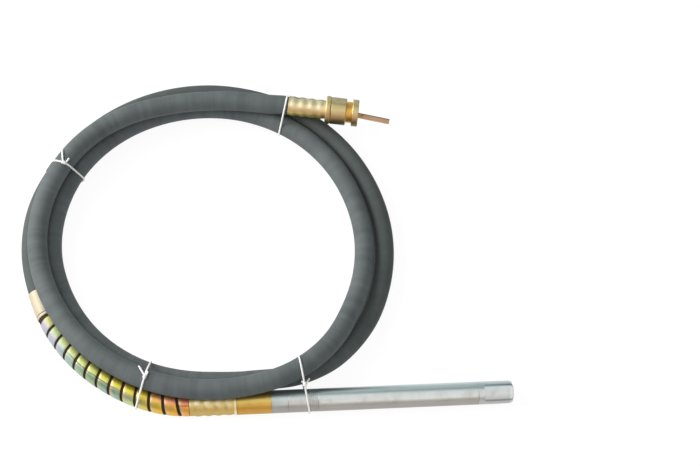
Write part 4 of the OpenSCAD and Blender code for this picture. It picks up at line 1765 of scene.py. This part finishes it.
def crimp(
    r: float,
    lip_l: float,
    waves: int,
    wave_l: float,
    depth: float,
    taper: float = 0.0,
) -> list[list[float]]:
    """Crimped outer side of a ferrule: r - taper x - depth (1 + cos) / 2, one wave to each cosine.

    Args:
        r: Radius at the mouth's end.
        lip_l: Length of the plain lip before the waves.
        waves: Number of waves.
        wave_l: Length of a wave.
        depth: Depth of a wave.
        taper: Loss of radius for each millimetre.

    Returns:
        Points [x, radius, easing] from the mouth on.
    """
    k = np.linspace(0.0, waves, waves * WAVE_POINTS + 1)
    x = lip_l + k * wave_l
    radius = r - taper * x - depth * (0.5 + 0.5 * np.cos(math.tau * k))
    return np.column_stack([x, radius, np.zeros(len(k))]).tolist()


@dataclass
class PokerHead:
    """Steel head with its connector and the crimped ferrule on the hose.

    A name that ends in _r is a radius, in _bore the radius of a bore, and in _l a length along the head.
    """

    axis_z: float = 19.4
    mouth_x: float = -254.0
    head_r: float = 18.0
    joint_bore: float = 14.0
    seat: float = 0.03
    spigot_l: float = 20.0
    ferrule_l: float = 69.5
    ferrule_wall: float = 2.2
    lip_l: float = 5.0
    waves: int = 4
    wave_l: float = 16.0
    crimp_depth: float = 1.1
    connector_l: float = 58.5
    stem_from: float = 4.0
    stem_r: float = 9.97
    stem_bore: float = 7.0
    core_bore: float = 8.7
    core_step: float = 6.0
    spigot_play: float = 1.0
    ring_l: float = 4.0
    ring_proud: float = 0.1
    seal_l: float = 26.0
    seal_bore: float = 9.6
    clamp_l: float = 5.0
    clamp_r: float = 12.97
    clamp_bore: float = 10.0
    pocket: tuple[float, float] = (4.5, 11.7)
    pocket_bore: float = 12.03
    housing_l: float = 47.5
    bearing_bore: float = 13.03
    shoulder_l: float = 4.0
    shoulder_bore: float = 10.0
    spigot_bore: float = 11.6
    groove_depth: float = 0.6
    groove_l: float = 0.8
    groove_count: int = 6
    groove_pitch: float = 3.0
    groove_share: float = 0.7
    tube_l: float = 250.0
    nose_l: float = 56.5
    nose_bore: float = 9.0
    nose_columns: int = 144
    flat_w: float = 27.0
    flat_l: float = 47.0
    flat_roll: float = 22.0
    dome: float = 4.0
    dome_inset: float = 1.5
    dome_rows: int = 12
    knock: float = 0.25

    def __post_init__(self) -> None:
        """Places along the head, from the mouth of the ferrule to the tip of the nose."""
        self.connector_x = self.mouth_x + self.ferrule_l
        self.seal_x = self.connector_x + self.connector_l
        self.housing_x = self.seal_x + self.seal_l
        self.tube_x = self.housing_x + self.housing_l
        self.nose_x = self.tube_x + self.tube_l
        self.tip_x = self.nose_x + self.nose_l
        self.spigot_r = self.joint_bore - self.seat
        self.axis = Axis(np.array([0.0, 0.0, self.axis_z]), np.eye(3))
        self.lathe = Lathe(self.axis)

    def build(self) -> None:
        """Makes every piece of the head."""
        self.ferrule()
        self.connector()
        self.seal_housing()
        self.bearing_housing()
        self.tube()
        self.nose()

    def ferrule(self) -> bpy.types.Object:
        """Crimped ferrule: bore, waved outer side, plain end.

        Returns:
            The ferrule.
        """
        x0, x1, r = self.mouth_x, self.connector_x, self.head_r
        bore = r - self.ferrule_wall
        low = r - self.crimp_depth
        waves = crimp(r, self.lip_l, self.waves, self.wave_l, self.crimp_depth)
        outline = [
            [x0, bore, 0.3], [x0, low, 0.5], *([x0 + x, y, e] for x, y, e in waves),
            [x1, low, 0.1], [x1, bore, 0.3],
        ]
        # The finish paints highlights on the crests.
        crests = (x0 + self.lip_l + self.wave_l / 2, self.wave_l)
        finish = ZincPlate("zinc_gold", Plating.GOLD, 0.44, 0.85, crests=crests)
        return self.lathe.turned(outline, "crimped_ferrule", finish, Slot.ZINC_GOLD, "head_ferrule")

    def connector(self) -> bpy.types.Object:
        """Connector: stem in the hose, bright ring, groove, sleeve and the seat of the seal housing.

        Returns:
            The connector.
        """
        x0, x1, x2, r = self.mouth_x + self.stem_from, self.connector_x, self.seal_x, self.head_r
        ring_x, ring_r = x1 + self.ring_l, r + self.ring_proud
        sleeve_x, groove_r = ring_x + self.groove_l, r - self.groove_depth
        seat_x, step_x = x2 - self.spigot_l - self.spigot_play, x1 + self.core_step
        outline = [
            [x0, self.stem_bore, 0.3], [x0, self.stem_r, 0.6], [x1, self.stem_r, 0.0],
            [x1, ring_r, 0.5], [ring_x, ring_r, 0.4], [ring_x, groove_r, 0.1],
            [sleeve_x, groove_r, 0.1], [sleeve_x, r, 0.3], [x2, r, 0.5],
            [x2, self.joint_bore, 0.2], [seat_x, self.joint_bore, 0.0], [seat_x, self.core_bore, 0.0],
            [step_x, self.core_bore, 0.0], [step_x, self.stem_bore, 0.0],
        ]
        groove_x = ring_x + self.groove_l / 2
        # The finish paints shade in the groove.
        finish = ZincPlate(
            "zinc_ochre", Plating.OCHRE, 0.38, groove_x=groove_x, stretch=(x1, ring_x), groove_shade_share=0.5,
        )
        return self.lathe.turned(outline, "hose_sleeve", finish, Slot.ZINC_OCHRE, "hose_connector")

    def seal_housing(self) -> bpy.types.Object:
        """Seal housing: spigot, outer side with an eased joint, clamp ring and the seal's pocket.

        Returns:
            The seal housing.
        """
        x0, x1, r = self.seal_x, self.housing_x, self.head_r
        back_x, clamp_x = x0 - self.spigot_l, x1 + self.clamp_l
        near_x, far_x = (x0 + x for x in self.pocket)
        outline = [
            [back_x, self.seal_bore, 0.2], [back_x, self.spigot_r, 0.4], [x0, self.spigot_r, 0.0],
            [x0, r, 0.5], [x1, r, 0.5], [x1, self.clamp_r, 0.0], [clamp_x, self.clamp_r, 0.2],
            [clamp_x, self.clamp_bore, 0.2], [x1, self.clamp_bore, 0.0], [x1, self.seal_bore, 0.0],
            [far_x, self.seal_bore, 0.0], [far_x, self.pocket_bore, 0.0],
            [near_x, self.pocket_bore, 0.0], [near_x, self.seal_bore, 0.0],
        ]
        finish = GroundSteel("dull_steel", (0.58, 0.61, 0.59), (0.44, 0.46, 0.45), 0.34)
        return self.lathe.turned(outline, "seal_block", finish, Slot.DULL_STEEL, "seal_housing")

    def bearing_housing(self) -> bpy.types.Object:
        """Bearing housing: plain outer side, a band of turned grooves and the spigot in the tube.

        Returns:
            The bearing housing.
        """
        x0, x1, r = self.housing_x, self.tube_x, self.head_r
        front_x, shoulder_x = x1 + self.spigot_l, x1 - self.shoulder_l
        low = r - self.groove_depth
        starts = x1 - (np.arange(self.groove_count)[::-1] + self.groove_share) * self.groove_pitch
        groove = ((0.0, r, 0.15), (0.15, low, 0.1), (0.85, low, 0.1), (1.0, r, 0.15))
        grooves = [[x + dx, y, e] for x in starts for dx, y, e in groove]
        outline = [
            [x0, self.bearing_bore, 0.2], [x0, r, 0.5], *grooves, [x1, r, 0.4], [x1, self.spigot_r, 0.0],
            [front_x, self.spigot_r, 0.4], [front_x, self.spigot_bore, 0.2], [x1, self.spigot_bore, 0.0],
            [x1, self.shoulder_bore, 0.0], [shoulder_x, self.shoulder_bore, 0.0],
            [shoulder_x, self.bearing_bore, 0.0],
        ]
        finish = GroundSteel("ground_steel", (0.60, 0.57, 0.56), (0.48, 0.45, 0.44), 0.34, 0.025)
        return self.lathe.turned(outline, "bearing_block", finish, Slot.GROUND_STEEL, "bearing_housing")

    def tube(self) -> bpy.types.Object:
        """Plain ground tube with eased ends.

        Returns:
            The tube.
        """
        x0, x1, r, bore = self.tube_x, self.nose_x, self.head_r, self.joint_bore
        outline = [[x0, bore, 0.3], [x0, r, 0.5], [x1, r, 0.5], [x1, bore, 0.3]]
        finish = GroundSteel("bright_steel")
        return self.lathe.turned(outline, "poker_tube", finish, Slot.BRIGHT_STEEL, "head_tube")

    def nose(self) -> bpy.types.Object:
        """Nose: spigot, short round collar, two flats and a domed end.

        The turned radius is cut to half the flats' width over the cosine of the angle from their middle,
        from the shoulder on. The dome is roughened a little with a product of two sines of the angle.

        Returns:
            The nose.
        """
        x0, x1, r = self.nose_x, self.tip_x, self.head_r
        back_x, flat_x, dome_x = x0 - self.spigot_l, x1 - self.flat_l, x1 - self.dome
        end_r = r - self.dome_inset
        dome_r = (end_r ** 2 + self.dome ** 2) / (2 * self.dome)
        q = np.linspace(math.asin(end_r / dome_r), 0.02, self.dome_rows)
        dome = [[x1 - dome_r * (1 - math.cos(a)), dome_r * math.sin(a), 0.0] for a in q]
        outline = [
            [x0, 0.4, 0.0], [x0, self.nose_bore, 0.0], [back_x, self.nose_bore, 0.3],
            [back_x, self.spigot_r, 0.4], [x0, self.spigot_r, 0.0], [x0, r, 0.5],
            [flat_x - 0.2, r, 0.0], [flat_x + 0.2, r, 0.0], [flat_x + 3.0, r, 0.0],
            [x0 + 16.0, r, 0.0], [x0 + 28.0, r, 0.0], [dome_x - 2.0, r - 0.4, 0.8], *dome,
        ]
        skin = Lathe(self.axis, self.nose_columns).skin(outline, closed=False)
        x, y, z = np.moveaxis(skin.lay, -1, 0)
        radius, angle = np.hypot(y, z), np.arctan2(z, y)
        facing = np.abs(np.cos(angle - math.radians(90.0 + self.flat_roll)))
        cut = np.minimum(radius, self.flat_w / 2 / np.maximum(facing, 1e-6))
        worn = self.knock * (np.sin(3 * angle + 0.8) * np.sin(5 * angle + 2.0)) * (radius / r) ** 2
        end = np.clip((x - (dome_x - 1.0)) / self.dome, 0.0, 1.0)
        shaped = np.where(x > flat_x, cut, radius)
        local = np.stack([x + worn * end, shaped * np.cos(angle), shaped * np.sin(angle)], axis=-1)
        middle = (90.0 + self.flat_roll) / 360.0
        half = math.acos(self.flat_w / 2 / r) / math.tau
        edges = (middle - half, middle + half, middle + 0.5 - half, middle + 0.5 + half)
        # The sixth value is the dark colour of the pits and of the painted shade below.
        finish = GroundSteel(
            "nose_steel", (0.64, 0.64, 0.62), (0.46, 0.45, 0.43), 0.34, 0.03, (0.46, 0.45, 0.43),
            pitted=0.8, worn_from=dome_x - 4.0, edges=edges, edges_from=flat_x,
        )
        piece = Skin(self.axis.place(local), local, False).piece("poker_nose", finish, 30.0)
        return settle(piece, Body.POKER, Slot.BRIGHT_STEEL, "nose_cap")


@dataclass
class MotorEnd:
    """Fittings at the motor's end of the hose: ferrule, stop ring, coupling and the square drive tip.

    A name that ends in _r is a radius, in _bore the radius of a bore, and in _l a length along the axis.
    """

    axis: Axis
    ferrule_l: float = 63.0
    ferrule_r: float = 16.5
    ferrule_wall: float = 2.2
    lip_l: float = 1.0
    waves: int = 4
    wave_l: float = 15.3
    crimp_depth: float = 1.1
    taper: float = 0.4
    seat: float = 0.03
    stop_l: float = 8.5
    stop_r: float = 23.5
    stop_bevel: float = 1.5
    collar_l: float = 26.0
    collar_r: float = 22.5
    collar_bevel: float = 1.0
    lock_l: float = 10.0
    lock_r: float = 17.5
    lock_tint: Triple = (0.80, 0.44, 0.08)
    flange_l: float = 10.5
    socket_bore: float = 12.0
    socket_from: float = 4.0
    stem_from: float = 4.0
    stem_r: float = 9.97
    stem_bore: float = 7.0
    core_in: float = 79.5
    tip_w: float = 8.0
    tip_out: float = 53.5
    tip_collar_r: float = 6.0
    tip_heading: float = -3.1
    tip_droop: float = 5.0
    tip_roll: float = 20.0
    tip_columns: int = 64

    def __post_init__(self) -> None:
        """Lathe on the coupling's axis."""
        self.lathe = Lathe(self.axis)

    @property
    def end_x(self) -> float:
        """Place of the coupling's outer face on its axis."""
        return self.ferrule_l + self.stop_l + self.collar_l + self.lock_l + self.flange_l

    def build(self) -> list[bpy.types.Object]:
        """Makes the four fittings."""
        return [self.ferrule(), self.stop_ring(), self.coupling(), self.drive_tip()]

    def ferrule(self) -> bpy.types.Object:
        """Crimped ferrule that narrows a little towards the coupling.

        Returns:
            The ferrule.
        """
        x1, r = self.ferrule_l, self.ferrule_r
        bore = r - self.ferrule_wall
        low = r - self.crimp_depth
        waves = crimp(r, self.lip_l, self.waves, self.wave_l, self.crimp_depth, self.taper / x1)
        outline = [
            [0.0, bore, 0.3], [0.0, low, 0.2], *waves, [x1, low - self.taper, 0.2], [x1, bore, 0.2],
        ]
        finish = ZincPlate("zinc_straw", Plating.STRAW, 0.46, 0.85)
        return self.lathe.turned(outline, "motor_crimp", finish, Slot.ZINC_PALE_GOLD, "motor_ferrule")

    def stop_ring(self) -> bpy.types.Object:
        """Stop ring with bevelled edges.

        Returns:
            The ring.
        """
        x0, x1, r, b = self.ferrule_l, self.ferrule_l + self.stop_l, self.stop_r, self.stop_bevel
        bore = self.stem_r + self.seat
        outline = [
            [x0, bore, 0.2], [x0, r - b, 0.3], [x0 + b, r, 0.3],
            [x1 - b, r, 0.3], [x1, r - b, 0.3], [x1, bore, 0.2],
        ]
        finish = ZincPlate("zinc_ring", Plating.BRASSY, 0.46)
        return self.lathe.turned(outline, "stop_washer", finish, Slot.ZINC_PALE_GOLD, "stop_ring")

    def coupling(self) -> bpy.types.Object:
        """Coupling: stem in the hose, collar, lock groove, flange and the open socket.

        Returns:
            The coupling.
        """
        stem_x, x0 = self.stem_from, self.ferrule_l + self.stop_l
        x1 = x0 + self.collar_l
        x2 = x1 + self.lock_l
        x3, r, b = self.end_x, self.collar_r, self.collar_bevel
        socket_x = self.core_in - self.socket_from
        outline = [
            [stem_x, self.stem_bore, 0.3], [stem_x, self.stem_r, 0.5], [x0, self.stem_r, 0.0],
            [x0, r - b, 0.4], [x0 + b, r, 0.6], [x1 - b, r, 0.6], [x1, r - b, 0.4],
            [x1, self.lock_r, 0.8], [x2, self.lock_r, 0.8], [x2, r - b, 0.4], [x2 + b, r, 0.6],
            [x3 - b, r, 0.6], [x3, r - b, 0.4], [x3, self.socket_bore, 0.6],
            [socket_x, self.socket_bore, 0.3], [socket_x, self.stem_bore, 0.3],
        ]
        finish = ZincPlate(
            "zinc_coupling", Plating.BRASSY, 0.4, stretch=(x1, x2), stretch_tint=self.lock_tint,
        )
        return self.lathe.turned(outline, "motor_collar", finish, Slot.ZINC_PALE_GOLD, "coupling_body")

    def drive_tip(self) -> bpy.types.Object:
        """Drive tip: a round collar that becomes a square rod.

        The section's radius is a / (|cos q|^n + |sin q|^n)^(1/n): n = 2 is a circle, and n = 14 a square
        with slightly rounded corners. Each row gives a place along the tip, a and n.

        Returns:
            The tip.
        """
        turn = self.axis.turn @ turn_z(self.tip_heading) @ turn_y(self.tip_droop)
        axis = Axis(self.axis.place(np.array([self.core_in, 0.0, 0.0])), turn)
        end = self.end_x + self.tip_out - self.core_in
        half, collar = self.tip_w / 2, self.tip_collar_r
        rows = np.array([
            [1.2, 0.3, 2.0], [1.2, collar - 1.0, 2.0], [1.6, collar - 0.6, 2.0], [2.2, collar, 2.0],
            [8.0, collar, 2.0], [15.2, collar, 2.0], [17.0, half + 0.5, 3.0], [17.4, half, 14.0],
            [30.0, half, 14.0], [60.0, half, 14.0], [end - 0.8, half, 14.0], [end - 0.3, half - 0.15, 12.0],
            [end, half - 0.6, 10.0], [end, 0.3, 4.0],
        ])
        x, a, n = rows[:, :1], rows[:, 1:2], rows[:, 2:]
        q = np.arange(self.tip_columns)[None, :] * math.tau / self.tip_columns
        r = a / (np.abs(np.cos(q)) ** n + np.abs(np.sin(q)) ** n) ** (1 / n)
        roll = q + math.radians(self.tip_roll)
        local = np.stack(np.broadcast_arrays(x + 0 * q, r * np.cos(roll), r * np.sin(roll)), axis=-1)
        piece = Skin(axis.place(local), local, False).piece("square_tip", CopperRod("copper_rod"), 30.0)
        return settle(piece, Body.TIP, Slot.CORE_COPPER, "drive_tip")


@dataclass
class InnerDrive:
    """Drive inside the head: the CAD solids keep their shapes and get finishes."""

    finishes: dict[Finish, tuple[str, ...]] = field(default_factory=lambda: {
        InnerMetal("inner_steel"): (
            "raceway", "drive_spindle", "spindle_nut", "outer_spacer", "inner_spacer",
        ),
        InnerMetal("rotor_steel", (0.42, 0.42, 0.43), (0.22, 0.19, 0.14), 0.24): ("pendulum_rotor",),
        InnerMetal("bearing_steel", (0.62, 0.62, 0.63), (0.40, 0.37, 0.30), 0.14): (
            "bearing_outer_rings", "bearing_inner_rings", "bearing_balls",
        ),
        InnerMetal("cage_brass", (0.62, 0.45, 0.17), (0.30, 0.20, 0.08), 0.3): ("ball_cages",),
        InnerMetal("core_end_copper", (0.45, 0.29, 0.18), (0.22, 0.15, 0.09), 0.34): ("core_end",),
        InnerRubber("black_rubber"): ("rubber_coupling", "oil_seal"),
    })

    def dress(self) -> None:
        """Gives each CAD solid its finish."""
        for finish, nodes in self.finishes.items():
            for node in nodes:
                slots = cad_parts[node].data.materials
                slots.clear()
                slots.append(finish.material())
                log.info("%s: %s", node, finish.name)


@dataclass(frozen=True)
class Softbox:
    """Soft area light.

    Attributes:
        name: Name of the light.
        at: Its place in millimetres.
        size: Width and height in millimetres.
        watts: Its power.
        tint: Its colour.
    """

    name: str
    at: Triple
    size: tuple[float, float]
    watts: float
    tint: Triple


@dataclass
class Studio:
    """White floor, soft light from the upper left and the camera above the front.

    Attributes:
        camera_at: Place of the camera.
        camera_to: Point that it looks at.
        lens: Its focal length.
        sensor: Width of its sensor.
        sight: How far it sees, in metres.
        floor_half: Half the floor's width.
        floor_cells: Squares along a side of the floor.
        sky: Strength of the even white sky.
        lit: Point that the lights look at.
        boxes: A low key from the far left, a broad box overhead, a warm one in front and a cool one behind.
    """

    camera_at: Triple = (-43.456, -887.351, 2537.662)
    camera_to: Triple = (9.719, 294.785, 0.0)
    lens: float = 87.27
    sensor: float = 36.0
    sight: float = 100.0
    floor_half: float = 6000.0
    floor_cells: int = 8
    sky: float = 0.2
    lit: Triple = (-120.0, 240.0, 0.0)
    boxes: tuple[Softbox, ...] = (
        Softbox("key", (-2500.0, 1000.0, 1550.0), (2600.0, 2400.0), 134.0, (1.0, 0.99, 0.97)),
        Softbox("overhead", (350.0, -600.0, 2600.0), (2800.0, 4600.0), 37.0, (0.97, 1.0, 1.0)),
        Softbox("front", (0.0, -2600.0, 1400.0), (2000.0, 2400.0), 9.0, (1.0, 0.93, 0.84)),
        Softbox("back", (0.0, 2900.0, 1300.0), (1500.0, 2200.0), 6.5, (0.86, 1.0, 1.0)),
    )

    def camera(self) -> None:
        """Camera at the photograph's angle."""
        data = bpy.data.cameras.new("camera")
        data.lens = self.lens
        data.sensor_width = self.sensor
        data.clip_end = self.sight
        camera = bpy.data.objects.new("camera", data)
        self._aim(camera, self.camera_at, self.camera_to)
        bpy.context.scene.camera = camera

    def _aim(self, thing: bpy.types.Object, at: Triple, to: Triple) -> None:
        """Places an object and turns its -Z towards a point, with its X level.

        Args:
            thing: The object, which is linked to the scene.
            at: Its place in millimetres.
            to: The point.
        """
        back = unit(np.array(at) - np.array(to))
        right = unit(np.cross([0.0, 0.0, 1.0], back))
        matrix = np.eye(4)
        matrix[:3, :3] = np.column_stack([right, np.cross(back, right), back])
        matrix[:3, 3] = np.array(at) * MM
        thing.matrix_world = matrix.T.tolist()
        bpy.context.scene.collection.objects.link(thing)

    def floor(self) -> None:
        """Flat white floor, not part of the object: a square grid of points with faces between them."""
        cells, line = self.floor_cells, self.floor_cells + 1
        side = np.linspace(-self.floor_half, self.floor_half, line)
        x, y = np.meshgrid(side, side, indexing="ij")
        points = np.stack([x, y, np.zeros_like(x)], axis=-1).reshape(-1, 3) * MM
        i, k = np.meshgrid(np.arange(cells) * line, np.arange(cells), indexing="ij")
        faces = np.stack([i + k, i + k + line, i + k + line + 1, i + k + 1], axis=-1).reshape(-1, 4)
        mesh = bpy.data.meshes.new("floor")
        mesh.from_pydata(points.tolist(), [], faces.tolist())
        mesh.materials.append(FloorPaper("floor_paper").material())
        floor = bpy.data.objects.new("floor", mesh)
        bpy.context.scene.collection.objects.link(floor)

    def _hang(self, box: Softbox) -> None:
        """Adds a light that the camera doesn't see.

        Args:
            box: The light's place, size, power and colour.
        """
        data = bpy.data.lights.new(box.name, "AREA")
        data.shape = "RECTANGLE"
        data.size, data.size_y = box.size[0] * MM, box.size[1] * MM
        data.energy = box.watts
        data.color = box.tint
        light = bpy.data.objects.new(box.name, data)
        light.visible_camera = False
        self._aim(light, box.at, self.lit)

    def light(self) -> None:
        """Even white sky and the soft lights."""
        world = bpy.data.worlds.new("studio")
        world.use_nodes = True
        sky = world.node_tree.nodes["Background"]
        sky.inputs["Color"].default_value = (1.0, 1.0, 1.0, 1.0)
        sky.inputs["Strength"].default_value = self.sky
        bpy.context.scene.world = world
        for box in self.boxes:
            self._hang(box)
        bpy.context.scene.view_settings.view_transform = "Standard"


def main() -> None:
    """Builds the scene: camera, cords, head, motor end, inner drive, studio."""
    logging.basicConfig(level=logging.INFO, format="%(message)s")
    studio = Studio()
    studio.camera()
    route = Route()
    run = HoseRun(route)
    guard = StripGuard(run)
    hose = run.hose(guard.band_end_s)
    on_hose = [run.core(), guard.band(), guard.strip(), *MotorEnd(route.motor_axis()).build()]
    run.exit_point() * MM
    run.path.points[::-1] * MM
    StringTies(run, guard).build()
    PokerHead().build()
    InnerDrive().dress()
    studio.floor()
    studio.light()
    log.info("hose %.3f m long", run.path.length * MM)


if __name__ == "__main__":
    main()
